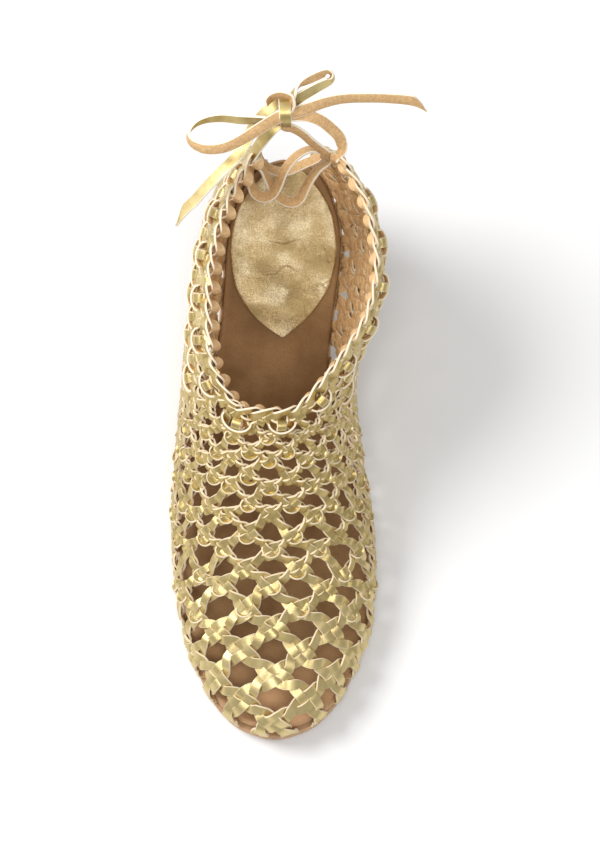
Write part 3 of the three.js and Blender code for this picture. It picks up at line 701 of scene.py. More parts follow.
def latticeStrip(family, offset, strand, look):
    # column = offset + family * line; a strand swaps sides between knots (square wave softened to a cosine)
    # and goes over and under three times per leg (sine of 3 pi line); between knots it turns upright on the
    # middle of the vamp, faces up at the vamp's sides and lies over like a shingle on the quarters
    toe = np.arange(-1, 0.5, 1 / look["toeSamples"])
    line = np.r_[toe, np.arange(0.5, net["backLine"] + 1e-6, 1 / look["samples"])]
    column = offset + family * line
    row, girth = knotPlace(line, column, look)
    past = np.abs(girth) - wallGirth(row, girth)
    clear = (line <= net["throatLine"]) | (np.abs(column) >= net["collarColumn"] - 0.1)
    onNet = (past < look["turnReach"]) & clear
    runs = np.split(np.arange(len(line)), np.flatnonzero(np.diff(onNet.astype(int)) != 0) + 1)
    strips = []
    for part in runs:
        if not onNet[part[0]] or len(part) < look["fewest"]:
            continue
        held, around = overRim(row[part], past[part], look), girth[part]
        under = np.abs(around) - wallGirth(held, around)
        held, around, t = (values[under < look["turnReach"]] for values in (held, around, line[part]))
        under = under[under < look["turnReach"]]
        if len(t) < look["fewest"]:
            continue
        middle = wallPoint(held, around)
        normal = wallNormal(held, around)
        flat = 1 - np.clip((under + 1) / 2, 0, 1)
        slack = handSlack(middle, look) * flat[:, None]
        middle = middle + slack - normal * (slack * normal).sum(1, keepdims=True)
        speed = soften(np.linalg.norm(np.gradient(middle, t, axis=0), axis=1), 4)
        along = unit(np.gradient(middle, axis=0))
        collarward = np.cross(normal, along) * family
        names = ("width", "apart", "rimGrow", "sideNarrow", "swing", "gather", "legTurn", "sideTuck", "tuck")
        full, apart, rimGrow, sideNarrow, swing, gather, legTurn, sideTuck, tuck = (
            np.interp(t, look["lines"], look[name]) for name in names
        )
        sideways = np.interp(np.abs(around) / (np.abs(around) - under), look["sideFrom"], (0, 1))
        legTurn = legTurn * (1 - sideways)
        tuck = tuck * np.clip(look["facing"] * normal[:, 2], 0, 1) + sideTuck * sideways
        rimGrow = rimGrow * np.where(around < 0, *look["rimSide"])
        full = full * (1 - sideNarrow * sideways) + rimGrow * np.clip(1 + under / look["rimRamp"], 0, 1)
        apart = np.minimum(apart, look["tightest"] * speed)
        beat, leg = np.cos(np.pi * t), np.sin(np.pi * t)
        side = gather * beat + (1 - gather) * np.tanh(look["squareness"] * beat)
        over = np.tanh(look["overShape"] * np.sin(3 * np.pi * t)) / np.tanh(look["overShape"])
        swing = swing * over * family * strand * flat
        path = middle + collarward * (strand * apart * side)[:, None] + normal * swing[:, None]
        beats = look["unevenBeat"]
        uneven = np.radians(look["unevenRoll"]) * np.sin(beats[0] * t + beats[1] * offset + strand) * flat
        tangent = unit(np.gradient(path, axis=0))
        width = unit(np.cross(normal, tangent)) * family
        upright = (legTurn * leg**2 - tuck) * flat * width[:, 2]
        across = width + normal * uneven[:, None] + np.array([0, 0, 1]) * upright[:, None]
        knotWidth = np.minimum(full, look["knotSqueeze"] * apart)
        wide = knotWidth + (full - knotWidth) * leg**2
        strips.append(sweepStrip(path, across * family, wide, look["thick"]))
    return strips


# knot loops: a short strip on edge, curled round the outer and toeward side of a knot of the vamp
knotLoop = {
    "lines": (5, 17),
    "columns": (-12, 13),
    "leaveOut": 5,
    "turn": (-50, 170),
    "uneven": 22,
    "unevenBeat": (2.7, 1.9),
    "sizeVary": 0.1,
    "sizeBeat": 3.3,
    "toeStep": 0.05,
    "samples": 18,
    "radius": (2.9, 2.5),
    "height": (-1.0, 0.8),
    "shift": 0.5,
    "width": 2.9,
    "thick": 0.85,
    "lean": 24,
    "clear": 9,
}


def knotLoops(look):
    # place = knot + outwards * radius * cos(turn) + toewards * radius * sin(turn) + normal * height
    numbers = (np.arange(*look[name], dtype=float) for name in ("lines", "columns"))
    line, column = (part.ravel() for part in np.meshgrid(*numbers, indexing="ij"))
    row, girth = knotPlace(line, column, lattice)
    onWall = wallGirth(row, girth) - np.abs(girth) > look["clear"]
    pick = onWall & ((line + column) % 2 == 0) & ((line + 2 * column) % look["leaveOut"] != 0)
    row, girth = row[pick], girth[pick]
    middle, normal = wallPoint(row, girth), wallNormal(row, girth)
    toewards = square(wallPoint(row - look["toeStep"], girth) - middle, normal)
    outwards = np.cross(normal, toewards)
    outwards = outwards * np.sign(outwards[:, 0] * girth)[:, None]
    share = np.linspace(0, np.pi, look["samples"])[:, None]
    rise = np.interp(np.sin(share), [0, 1], look["height"])
    lean = math.radians(look["lean"])
    strips = []
    for k, (centre, up, out, down) in enumerate(zip(middle, normal, outwards, toewards)):
        first, last = look["turn"] + look["uneven"] * np.sin(np.array(look["unevenBeat"]) * k)
        turn = np.radians(first + (last - first) * share / np.pi)
        radial = out * np.cos(turn) + down * np.sin(turn)
        radius = np.array(look["radius"]) * (1 + look["sizeVary"] * math.sin(look["sizeBeat"] * k))
        path = centre + out * radius[0] * np.cos(turn) + up * rise
        path = path + down * (radius[1] * np.sin(turn) + look["shift"])
        across = up * math.cos(lean) + radial * math.sin(lean)
        turnsLeft = np.dot(np.cross(out, down), up) > 0
        strips.append(sweepStrip(path, -across if turnsLeft else across, look["width"], look["thick"]))
    return strips


def makeLattice(look):
    # both families of diagonals, two strands to each, and the loops round the knots
    for family, name in ((1, "upper_strips_right"), (-1, "upper_strips_left")):
        strips = []
        for offset in range(*look["offsets"]):
            for strand in (-1, 1):
                strips += latticeStrip(family, offset, strand, look)
        joinStrips(name, strips, giltStripFinish)
        print(name, len(strips), "strips")
    joinStrips("upper_knots", knotLoops(knotLoop), giltStripFinish)
    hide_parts("upper")


makeLattice(lattice)

# collar and back edges: two strips on edge, twisted round each other, with bindings below the collar
plait = {
    "width": 4.0,
    "thick": 1.0,
    "pitch": 16.4,
    "swing": 1.1,
    "climb": 1.9,
    "lift": 0.3,
    "dwell": 0.35,
    "stand": 2.5,
    "lean": 4,
    "leanOut": 40,
    "shares": (0, 0.45, 0.55, 1),
    "leanIn": (100, 100, 50, 50),
    "bulge": (3.4, 3.4, 0.8, 0.8),
    "backLeanIn": 60,
    "backBulge": 0.9,
    "broad": 0.55,
    "rowSamples": 160,
    "throatSamples": 60,
    "backSamples": 120,
    "backPast": 2,
    "bindingEvery": 17.5,
    "bindingRadius": 2.1,
    "bindingTurns": 1.05,
    "bindingSamples": 30,
    "bindingThick": 1.1,
    "bindingDrop": 4.6,
    "bindingOut": 1.4,
    "endClear": 6,
    "start": 0.6,
    "rowsBelow": (9, 18),
    "rowStarts": (1.1, 0.6),
    "sink": 1.3,
    "loopReach": 5.6,
    "loopDrop": (2.6, 8.2),
    "loopOut": (0.9, 2.7),
    "loopTilt": (0.75, 0.65),
    "loopWidth": 3.6,
    "loopThick": 0.9,
}


def edgeLine(row, girth, smoothing=3.0, step=0.5):
    # wall's edge at even steps, with its outward normal and the direction out of the opening, rounded off
    points, normal = wallPoint(row, girth), wallNormal(row, girth)
    run = runAlong(points)
    even = np.arange(0, run[-1], step)
    both = np.stack([np.interp(even, run, column) for column in np.hstack([points, normal]).T], -1)
    reach = int(3 * smoothing / step)
    weights = np.exp(-0.5 * (np.arange(-reach, reach + 1) * step / smoothing) ** 2)
    ends = np.pad(both, ((reach, reach), (0, 0)), mode="reflect", reflect_type="odd")
    both = np.stack([np.convolve(column, weights / weights.sum(), mode="valid") for column in ends.T], -1)
    points, normal = both[:, :3], unit(both[:, 3:])
    along = unit(np.gradient(points, axis=0))
    normal = square(normal, along)
    return even, points, normal, np.cross(normal, along)


def twistedPair(line, look, stand):
    # two strands half a turn apart on a helix: out = swing * cos, up = lift + climb * sin, slower on top;
    # upright on top, lower down they lean with their top edge towards the middle and bulge inwards,
    # more at the lateral than at the medial side
    run, points, normal, up = line
    share = run / run[-1]
    bulge, leanIn = (np.interp(share, look["shares"], look[name]) for name in ("bulge", "leanIn"))
    along = np.cross(up, normal)
    up = square(up + stand * np.array([0, 0, 1]), along)
    normal = np.cross(along, up)
    strips = []
    for strand in (0, 1):
        angle = 2 * np.pi * run / look["pitch"] + np.pi * strand
        angle = angle + look["dwell"] * np.cos(angle)
        low = (1 - np.sin(angle)) / 2
        outer, inner = (np.maximum(way * np.cos(angle), 0) * low for way in (1, -1))
        inner = inner**look["broad"]
        out = look["swing"] * np.cos(angle) - bulge * inner
        rise = look["lift"] + look["climb"] * np.sin(angle)
        path = points + normal * out[:, None] + up * rise[:, None]
        lean = np.radians(look["lean"] + look["leanOut"] * outer - leanIn * inner)
        across = up * np.cos(lean)[:, None] - normal * np.sin(lean)[:, None]
        strips.append(sweepStrip(path, across, look["width"], look["thick"]))
    return strips


def bindings(line, look, start, sink):
    # rings of strip round the edge, and a half-ellipse loop of strip below each; sink draws them inwards
    run, points, normal, up = line
    points = points - normal * sink
    along = np.cross(up, normal)
    strips, every = [], look["bindingEvery"]
    turn = np.linspace(0, 2 * np.pi * look["bindingTurns"], look["bindingSamples"])[:, None]
    for middle in np.arange(every * start, run[-1] - look["endClear"], every):
        k = int(middle / (run[1] - run[0]))
        centre = points[k] - up[k] * look["bindingDrop"] + normal[k] * look["bindingOut"]
        path = centre + look["bindingRadius"] * (normal[k] * np.cos(turn) + up[k] * np.sin(turn))
        across = np.tile(-along[k], (len(turn), 1))
        strips.append(sweepStrip(path, across, look["width"], look["bindingThick"]))
        near = np.flatnonzero(np.abs(run - middle) < look["loopReach"])
        bulge = np.sqrt(1 - ((run[near] - middle) / look["loopReach"]) ** 2)
        drop, out = (np.interp(bulge, [0, 1], look[name])[:, None] for name in ("loopDrop", "loopOut"))
        path = points[near] - up[near] * drop + normal[near] * out
        across = up[near] * look["loopTilt"][0] + normal[near] * look["loopTilt"][1]
        strips.append(sweepStrip(path, across, look["loopWidth"], look["loopThick"]))
    return strips


def makePlait(look):
    # round the collar from the lateral to the medial corner, rows of bindings below it, the two back edges
    rows = np.linspace(backRow, throatRow + 1e-4, look["rowSamples"])
    across = np.linspace(-collarStart, collarStart, look["throatSamples"])
    level = np.full(len(rows), collarStart)
    row = np.r_[rows, np.full(len(across), float(throatRow)), rows[::-1]]
    line = edgeLine(row, np.r_[-level, across, level])
    strips = twistedPair(line, look, look["stand"])
    piece = joinStrips("collar_plait", strips, collarFinish)
    bound = bindings(line, look, look["start"], 0)
    for side, along in ((0, rows), (1, rows[::-1])):
        for below, start in zip(look["rowsBelow"], look["rowStarts"]):
            bound += bindings(edgeLine(along, sideSign[side] * (level + below)), look, start, look["sink"])
    loops = joinStrips("collar_bindings", bound, collarFinish)
    backs, backLook = [], {**look, "bulge": (look["backBulge"],) * 4, "leanIn": (look["backLeanIn"],) * 4}
    for side in (0, 1):
        low = wallGirth(np.array([float(backRow)]), np.array([float(sideSign[side])]))[0]
        girth = np.linspace(collarStart, low + look["backPast"], look["backSamples"])
        girth = girth if side == 0 else girth[::-1]
        back = edgeLine(np.full(len(girth), float(backRow)), girth * sideSign[side])
        backs += twistedPair(back, backLook, 0)
    edges = joinStrips("back_plaits", backs, giltStripFinish)
    for part in (piece, loops, edges):
        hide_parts("upper")


makePlait(plait)
print("collar plaited")

# lace: same leather, run through the back edges and tied in a bow
# each place: x, y, z, then the degrees by which the suede side is turned away from facing upwards
lace = {
    "width": 4.8,
    "thick": 1.2,
    "tip": 8.5,
    "tipLeft": 0.1,
    "perPlace": 12,
    "bandSamples": 90,
    "bandSlant": 0.06,
    "above": (0, -0.28, 0.96),
    "beyond": (0, 0.96, 0.28),
    "knot": (3, 136, 160),
    "medial": [
        (23.8, 124.9, 136.8, 60), (26.1, 127, 141.5, 35), (25.2, 129.8, 147, 12), (21.5, 132, 152, 5),
        (17.5, 133.6, 156, 0), (13.4, 134.4, 158.5, 0), (9, 134.6, 159.3, -10), (5.4, 134.3, 158.8, -35),
        (3, 133.9, 158.4, -65), (-0.3, 132.9, 159.4, -92), (-4.3, 131.9, 161, -112),
        (-8.2, 131.4, 162.5, -122), (-14.6, 131.2, 163.5, -126), (-22.7, 132, 163.5, -123),
        (-28.7, 131.6, 162.5, -113), (-32.7, 130.3, 161.2, -102), (-35.1, 128, 160.4, -92),
        (-35.8, 125.3, 160, -79), (-34.3, 122.6, 160, -62), (-30.3, 120.1, 160.8, -46),
        (-26.5, 119.4, 161.5, -41), (-22.2, 119.6, 162.3, -39), (-18.2, 120.8, 163, -37),
        (-13.6, 123.1, 163.6, -33), (-7.8, 126.8, 164, -24), (-2.6, 130.6, 163.2, -22), (1, 133, 162.5, -20),
        (3, 134, 162.2, -18), (5.6, 134.5, 162, -18), (11.8, 136.8, 161.3, -26), (18.7, 139.8, 160.5, -37),
        (25.7, 141.9, 159.5, -44), (35, 142.8, 158.5, -46), (44.3, 143, 157.5, -45), (53.6, 142.7, 156, -42),
        (58.4, 142.1, 154, -40), (61.7, 141.1, 152, -40),
    ],
    "lateral": [
        (-10.7, 124.9, 136.8, -120), (-9.1, 126, 143, -150), (-6.4, 127.4, 150, -172),
        (-3.5, 129, 155, -180), (-0.5, 131.9, 156.5, -178), (1.7, 135.4, 156.3, -165),
        (3.8, 138.9, 158.5, -145), (5.8, 140.9, 163, -128), (7.8, 143.6, 166, -98), (10.4, 145.3, 168, -66),
        (13.8, 146.6, 169.5, -54), (17.4, 148.2, 170, -56), (19.5, 149, 170.1, -68), (21, 148.9, 169.2, -84),
        (21.6, 148.1, 167.8, -104), (21, 147, 166.6, -122), (16.2, 144.5, 165.5, -136),
        (11.8, 142.2, 164.5, -140), (7.8, 140.1, 163, -146), (5, 139.1, 161, -154), (1.7, 140, 158.5, -165),
        (-1.1, 140, 157.5, -175), (-4.3, 137.8, 156.5, -180), (-7.5, 134.3, 156, -182),
        (-10.4, 130.3, 155, -182), (-13.2, 125.3, 153, -190), (-17.1, 120, 150, -198),
        (-23.8, 114.7, 145.5, -204), (-30, 109.7, 140.8, -206), (-34.1, 106.2, 137.3, -206),
        (-37.9, 103.6, 134.4, -206), (-42.7, 99.6, 130.5, -206),
    ],
    "crossing": [
        [(26.2, 125.6, 126.4, -60), (22.8, 129.6, 128, -60), (18.9, 131.2, 128.5, -58),
         (13.5, 132.3, 128, -52), (8.6, 131.1, 125.5, -46), (4.4, 128, 122.5, -43), (1.7, 124.1, 120, -42),
         (-0.1, 120, 118, -42), (-2.6, 116.7, 116.8, -26), (-5.9, 115.6, 116.2, -16),
         (-9.3, 117.1, 116.5, -24), (-11.1, 120.2, 117.5, -48), (-11.6, 124.1, 119, -64),
         (-11.4, 127.7, 121, -66), (-10.3, 132, 122.5, -70), (-14, 128.2, 121, -70)],
        [(-13, 123.4, 132.5, 70), (-9.7, 127.7, 133.5, 68), (-8.5, 125.6, 130, 64), (-6.3, 124.2, 124.5, 62),
         (-4.3, 122.4, 117.5, 58), (-2.3, 120.5, 111.5, 45), (0.4, 118.5, 108.5, 26), (3.8, 117, 107.5, 16),
         (6.9, 116.6, 108, 18), (9.4, 118.1, 109.5, 32), (11.3, 121.2, 111.5, 43), (13.4, 124.4, 114, 44),
         (16.5, 127.9, 116.5, 46), (20.2, 129.9, 119.5, 50), (22.5, 131.9, 122.6, 55),
         (26.1, 128.2, 120.7, 60)],
        [(0.9, 132.4, 157.5, -40), (3, 131.2, 156.3, -50), (6.2, 131, 154.5, -56), (10.2, 130.1, 150.5, -58),
         (13.5, 129, 145.5, -58), (17.6, 127.9, 139.5, -58), (20.9, 127.2, 135.5, -60),
         (22.9, 127.2, 134.4, -62), (25.3, 123.8, 133.6, -62)],
    ],
    "bar": [
        (23.5, 140, 97.3, -40), (19.3, 143, 99.4, -40), (16.2, 140.3, 97.3, -36), (11.1, 138.4, 95.8, -34),
        (6, 136.3, 94.8, -34), (1.4, 135.3, 94.3, -34), (-3.3, 136.3, 94.6, -36), (-7.5, 139.2, 96, -40),
        (-10.5, 143.1, 99.1, -44), (-14.7, 140, 97.6, -44),
    ],
    "arch": [
        (5, 135.7, 160.5, 70), (5.9, 137.2, 162.5, 74), (6, 138.2, 164.8, 74), (5.2, 139.5, 166.2, 70),
        (3.3, 140.2, 167, 66), (1, 140.6, 167, 63), (-1.3, 140.5, 165.8, 62), (-2.8, 140.3, 163.3, 64),
        (-3.3, 140.1, 159.8, 70),
    ],
    # band round the knot: distance beyond its middle, height above it
    "band": [
        (-5.6, -1.5), (-4.8, 1.0), (-3.2, 3.2), (-1.2, 4.4), (1.5, 4.3), (3.8, 3.4), (5.2, 1.4), (5.0, -1.4),
        (3.2, -3.8), (0, -4.6), (-3.4, -4.0), (-5.6, -1.5), (-4.8, 1.0),
    ],
}


def laceStrip(places, look, tip=0):
    # spline through the places; suede = above * cos(turn) + side * sin(turn); width = direction x suede;
    # a cut tip narrows evenly and keeps one edge straight
    places = np.array(places, float)
    count = look["perPlace"] * len(places)
    path = looseCurve(places[:, :3], count)
    turn = np.radians(turnBetween(places[:, 3:], count))
    along = unit(np.gradient(path, axis=0))
    side = unit(np.cross(look["above"], along))
    across = np.cross(along, np.cos(turn) * np.cross(along, side) + np.sin(turn) * side)
    wide = np.full(count, look["width"])
    if tip:
        run = runAlong(path)
        wide = wide * np.clip((run[-1] - run) / tip, look["tipLeft"], 1)
        path = path + across * ((look["width"] - wide) / 2)[:, None]
    return sweepStrip(path, across, wide, look["thick"]), path


def knotBand(look):
    # ring round the knot: middle + beyond * distance + above * height, slightly slanting
    away, height = looseCurve(look["band"], look["bandSamples"]).T
    path = np.array(look["knot"]) + np.outer(away, look["beyond"]) + np.outer(height, look["above"])
    path[:, 0] -= look["bandSlant"] * away
    return sweepStrip(path, np.tile([-1.0, 0, 0], (len(path), 1)), look["width"], look["thick"])


def makeLace(look):
    # strands across the back, the low bar, the turns of the knot, then each half with its loop and tail
    strands = [laceStrip(part, look)[0] for part in look["crossing"]]
    crossing = joinStrips("lace_strands", strands, laceFinish)
    bar = joinStrips("lace_bar", [laceStrip(look["bar"], look)[0]], laceFinish)
    wrap = joinStrips("bow_wrap", [knotBand(look), laceStrip(look["arch"], look)[0]], laceFinish)
    for part, node in ((crossing, "lace_crossing"), (bar, "lace_bar_low"), (wrap, "bow_knot")):
        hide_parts(node)
    for name, other in (("lateral", "medial"), ("medial", "lateral")):
        strip, path = laceStrip(look[name], look, look["tip"])
        length = round(float(strip[1][-1]) * mm, 3)
        cord = joinStrips("lace_" + name, [strip], laceFinish)
        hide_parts("lace_rise_" + name, "bow_loop_" + other, "bow_tail_" + name)
        tuple(path[0] * mm)
        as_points(path * mm)
        print("lace", name, length, "m")


makeLace(lace)


# sole pieces: rings of section places carried along rows
firstRow, lastRow = 0.04, heelRow - 0.06


def loftRows(name, rings, material):
    # closed surface through rings (rows, places, 3); u round the ring, v along the rows
    rows, places = rings.shape[:2]
    quads = ringQuads(rows, places)[:, [0, 3, 2, 1]]
    r, k = np.meshgrid(np.arange(rows - 1), np.arange(places), indexing="ij")
    caps = np.stack([np.arange(places)[::-1], (rows - 1) * places + np.arange(places)])
    u = np.stack([k, k + 1, k + 1, k], -1) / places
    v = np.stack([r, r, r + 1, r + 1], -1) / (rows - 1)
    uv = [np.stack([u, v], -1).reshape(-1, 2), np.tile([0.5, 0.5], (2 * places, 1))]
    return addPiece(name, rings.reshape(-1, 3), [quads, caps], material, uv)


# brown lining leather, painted paler under the toes and where it turns over the footbed's edge, as painted
# light
footbedLeather = {
    "brown": (0.225, 0.122, 0.046),
    "tan": (0.385, 0.228, 0.10),
    # edge and toe: lighter copies of the leather's colour, as painted light
    "edge": (0.42, 0.25, 0.12),
    "toe": (0.54, 0.32, 0.165),
    "litToeFrom": (0.052, 0.094),
    "grain": (1900, 5, 0.65),
    "grainFrom": (0.25, 0.55),
    "cloud": (45, 4),
    "cloudFrom": (0.3, 0.7),
    "litEdgeNear": (0.08, 0.15),
    "litEdgeFar": 0.80,
    "litEdgeFade": (-0.02, 0.05),
    "relief": (0.35, 0.0004),
}


def makeFootbedLeather(look):
    # grain over clouds of brown and tan; painted light makes the edge, where the run round the section
    # begins and ends, and the toe paler
    material, shader, wire, place = newFinish("footbedLeather")
    run = wire.make("ShaderNodeUVMap", {"uv_map": "run"})
    grain = place.noise(*look["grain"])
    cloud = place.noise(*look["cloud"]).between(*look["cloudFrom"])
    around = run.axis("X")
    # painted light: a paler band along the footbed's edge
    edge = 1 - around.between(*look["litEdgeNear"]) * (look["litEdgeFar"] - around).between(*look["litEdgeFade"])
    colour = edge.mix(cloud.mix(look["brown"], look["tan"]), look["edge"])
    colour = grain.between(*look["grainFrom"]).mix(look["brown"], colour)
    # painted light: paler towards the toe
    toe = (0 - place.axis("Y")).between(*look["litToeFrom"])
    colour = toe.mix(colour, look["toe"])
    bump = grain.bump(*look["relief"])
    feed(shader, colour=colour, roughness=0.62 + 0.2 * grain, normal=bump, specular=0.35)
    return material


footbed = {"rows": 150, "across": 26, "dish": 0.9, "dishFrom": 1.5, "round": 1.3, "roundPlaces": 9}


def makeFootbed(look):
    # bottom edge, round of the lateral edge, dished top, round of the medial edge
    rows = np.linspace(firstRow, lastRow, look["rows"])
    low, high = layers["footbedLow"], layers["footbedHigh"]
    turn = np.linspace(0, np.pi, look["roundPlaces"])
    grow = look["round"] * (np.sin(turn) - 1)
    lift = (low + high) / 2 - (high - low) / 2 * np.cos(turn)
    lateral = np.stack([edgePoint(0, rows, g, l) for g, l in zip(grow, lift)], 1)
    medial = np.stack([edgePoint(1, rows, g, l) for g, l in zip(grow[::-1], lift[::-1])], 1)
    share = np.linspace(0, 1, look["across"] + 2)[1:-1]
    top = lateral[:, -1:] + (medial[:, :1] - lateral[:, -1:]) * share[None, :, None]
    begun = np.clip(rows / look["dishFrom"], 0, 1)
    top[..., 2] -= look["dish"] * (4 * share * (1 - share))[None] * begun[:, None]
    rings = np.concatenate([lateral, top, medial], 1)
    piece = loftRows("footbed_lining", rings[:, ::-1], makeFootbedLeather(footbedLeather))
    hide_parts("footbed")


makeFootbed(footbed)
print("footbed made")

# gilt pad: foil over soft leather, with painted highlights and painted shade in wide soft patches
giltPad = {
    "gold": (0.56, 0.42, 0.19),
    "pale": (0.86, 0.72, 0.43),
    # dark: colour of the dark flecks and of the painted shade; next, the painted highlight's colour
    "dark": (0.33, 0.23, 0.09),
    "paintedHighlight": (1.0, 0.90, 0.62),
    "flecks": (1500, 5, 0.8),
    "flecksFrom": (0.36, 0.64),
    # patches: where the painted highlight falls; the next three: where the painted shade falls
    "patches": (85, 2, 0.45),
    "patchesFrom": (0.44, 0.70),
    "paintedShadeShift": (0.31, 0.17, 0),
    "paintedShade": (70, 3, 0.5),
    "paintedShadeFrom": (0.42, 0.64),
    "waves": (60, 3, 0.5),
    "slow": (34, 2, 0.5),
    "creaseWide": (0.0, 0.012),
    "creaseWhere": (0.46, 0.54),
    "relief": (0.6, 0.0009),
}


def makeGiltPad(look):
    # fine flecks of foil, painted highlights and painted shade in wide soft patches, over a skin with waves
    # and a few creases
    # (crease = thin band where a slow noise passes its middle, kept in patches)
    material, shader, wire, place = newFinish("giltPad")
    flecks = place.noise(*look["flecks"]).between(*look["flecksFrom"])
    paintedHighlight = place.noise(*look["patches"]).between(*look["patchesFrom"])
    elsewhere = wire.make("ShaderNodeMapping", {}, {"Vector": place, "Location": look["paintedShadeShift"]})
    paintedShade = elsewhere.noise(*look["paintedShade"]).between(*look["paintedShadeFrom"]) * (1 - paintedHighlight)
    waves = place.noise(*look["waves"])
    away = wire.math("ABSOLUTE", place.noise(*look["slow"]) - 0.5)
    crease = (1 - away.between(*look["creaseWide"])) * waves.between(*look["creaseWhere"])
    colour = flecks.mix(look["dark"], look["pale"])
    # painted shade in dull patches: flecks toned towards the gold here and darkened two lines below
    colour = (0.25 + 0.25 * paintedShade).mix(colour, look["gold"])
    # painted highlight: bright flecked patches
    colour = (paintedHighlight * (0.25 + 0.75 * flecks)).mix(colour, look["paintedHighlight"])
    colour = (0.38 * paintedShade).mix(colour, look["dark"])
    rough = 0.32 + 0.14 * flecks + 0.06 * paintedShade
    height = flecks * 0.1 + waves * 3 + crease * 0.3
    feed(shader, colour=colour, metallic=0.86, roughness=rough, normal=height.bump(*look["relief"]))
    return material


heelPad = {
    "y": [84, 87, 94, 104, 117, 130, 140, 147],
    "lateral": [0.6, -5, -13.6, -19.6, -21.4, -18.6, -12.6, -5],
    "medial": [2.2, 7, 15.4, 22.2, 25, 22.8, 17, 10.6],
    "rows": 90,
    "across": 40,
    "pucker": 0.28,
    "puckerIn": 6,
    "rim": 0.25,
    "endLeft": 0.4,
    "thinnest": 0.1,
}


def makeHeelPad(look):
    # thin pad between two outlines: flat underside, rounded rim, top with soft puckers (sum of sines)
    y = np.linspace(look["y"][0], look["y"][-1], look["rows"])
    left, right = (smoothThrough(look["y"], look[side])(y) for side in ("lateral", "medial"))
    share = (1 - np.cos(np.linspace(0, np.pi, look["across"]))) / 2
    x = left[:, None] + (right - left)[:, None] * share
    y = np.broadcast_to(y[:, None], x.shape)
    fromEnd = np.minimum(y - y[0], y[-1] - y) + look["endLeft"]
    away = np.minimum(np.minimum(x - left[:, None], right[:, None] - x), fromEnd)
    crown, deep = (1 - np.exp(-np.maximum(away, 0) / look[name]) for name in ("rim", "puckerIn"))
    wave = np.sin(x * 0.31 + 1.2 * np.sin(y * 0.13)) + 0.7 * np.sin(y * 0.36 + x * 0.12)
    low, high = layers["pad"]
    lift = low + (high - low) * crown + look["pucker"] * deep * wave
    top = bedPoint(x, y, np.maximum(lift, low + look["thinnest"]))
    under = bedPoint(x, y, np.full(x.shape, low))[:, ::-1]
    rings = np.concatenate([top, under], 1)
    piece = loftRows("heel_pad_gilt", rings[:, ::-1], makeGiltPad(giltPad))
    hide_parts("heel_pad")


makeHeelPad(heelPad)

# sole leather: smooth tan, darker in clouds
soleLeather = {
    "tan": (0.58, 0.36, 0.19),
    "dark": (0.44, 0.26, 0.13),
    "grain": (1300, 4, 0.6),
    "cloud": (60, 3),
    "paleFrom": (0.35, 0.65),
    "relief": (0.2, 0.0003),
}


def makeSoleLeather(look):
    # tone = mostly clouds, partly grain
    material, shader, wire, place = newFinish("soleLeather")
    grain, cloud = place.noise(*look["grain"]), place.noise(*look["cloud"])
    colour = (cloud * 0.7 + grain * 0.3).between(*look["paleFrom"]).mix(look["dark"], look["tan"])
    feed(shader, colour=colour, roughness=0.48 + 0.2 * grain, normal=grain.bump(*look["relief"]))
    return material


# edge of the outsole: share of its thickness, and how far it is drawn in there
outsole = {
    "rows": 140,
    "across": 10,
    "edge": ((0, 0.45), (0.12, 0.12), (0.35, 0), (0.65, 0), (0.88, 0.12), (1, 0.45)),
}


def makeOutsole(look):
    # rounded edge from underside to top at each row
    rows = np.linspace(firstRow, lastRow, look["rows"])
    thick, grow = layers["outsole"], layers["outsoleGrow"]
    sides = []
    for side in (0, 1):
        edge = [edgePoint(side, rows, grow - inset, level * thick) for level, inset in look["edge"]]
        sides.append(np.stack(edge, 1))
    share = np.linspace(0, 1, look["across"] + 2)[1:-1][None, :, None]
    top = sides[0][:, -1:] + (sides[1][:, -1:] - sides[0][:, -1:]) * share
    under = sides[1][:, :1] + (sides[0][:, :1] - sides[1][:, :1]) * share
    rings = np.concatenate([sides[0], top, sides[1][:, ::-1], under], 1)
    piece = loftRows("outsole_leather", rings[:, ::-1], makeSoleLeather(soleLeather))
    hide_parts("outsole")


makeOutsole(outsole)

# heel: stacked leather lifts, and a rubber lift on the floor
stackedHeel = {
    "breastRow": 9.3,
    "rows": 46,
    "levels": 40,
    "grow": -0.4,
    "rise": -0.3,
    "taper": 0.8,
    "waist": 0.86,
    "axis": (2, 127),
    "lift": 6,
    "layer": 4.4,
    "pale": (0.30, 0.165, 0.080),
    "dark": (0.145, 0.072, 0.034),
    "stretch": (0.5, 0.5, 8),
    "fibre": (420, 5, 0.65),
    "paleFrom": (0.15, 0.85),
    "seam": (0.0, 0.06),
    "relief": (0.5, 0.0003),
}
# side of the rubber lift: scale of its outline, and height
liftRubber = {
    "side": ((0.975, 0), (0.995, 0.4), (1, 1), (1, 5.75), (0.992, 5.98)),
    "dark": (0.018, 0.015, 0.013),
    "pale": (0.035, 0.030, 0.026),
    "speck": (1600, 4, 0.7),
    "paleFrom": (0.3, 0.7),
    "relief": (0.3, 0.0003),
}


def makeStackedLeather(look):
    # layers by height: a tone for each layer and a fine dark line between two
    material, shader, wire, place = newFinish("stackedLeather")
    height = place.axis("Z") / (look["layer"] * mm)
    layer = height.math("FLOOR", height)
    part = height - layer
    tone = wire.make("ShaderNodeTexWhiteNoise", {"noise_dimensions": "1D"}, {"W": layer})
    stretched = wire.make("ShaderNodeMapping", {}, {"Vector": place, "Scale": look["stretch"]})
    fibre = stretched.noise(*look["fibre"])
    shade = (0.55 * tone + 0.45 * fibre).between(*look["paleFrom"])
    line = part.between(*look["seam"]) * (1 - part).between(*look["seam"])
    colour = line.mix(tuple(0.5 * c for c in look["dark"]), shade.mix(look["dark"], look["pale"]))
    bump = (line + 0.3 * fibre).bump(*look["relief"])
    feed(shader, colour=colour, roughness=0.36 + 0.18 * fibre, normal=bump, coat=0.25)
    return material


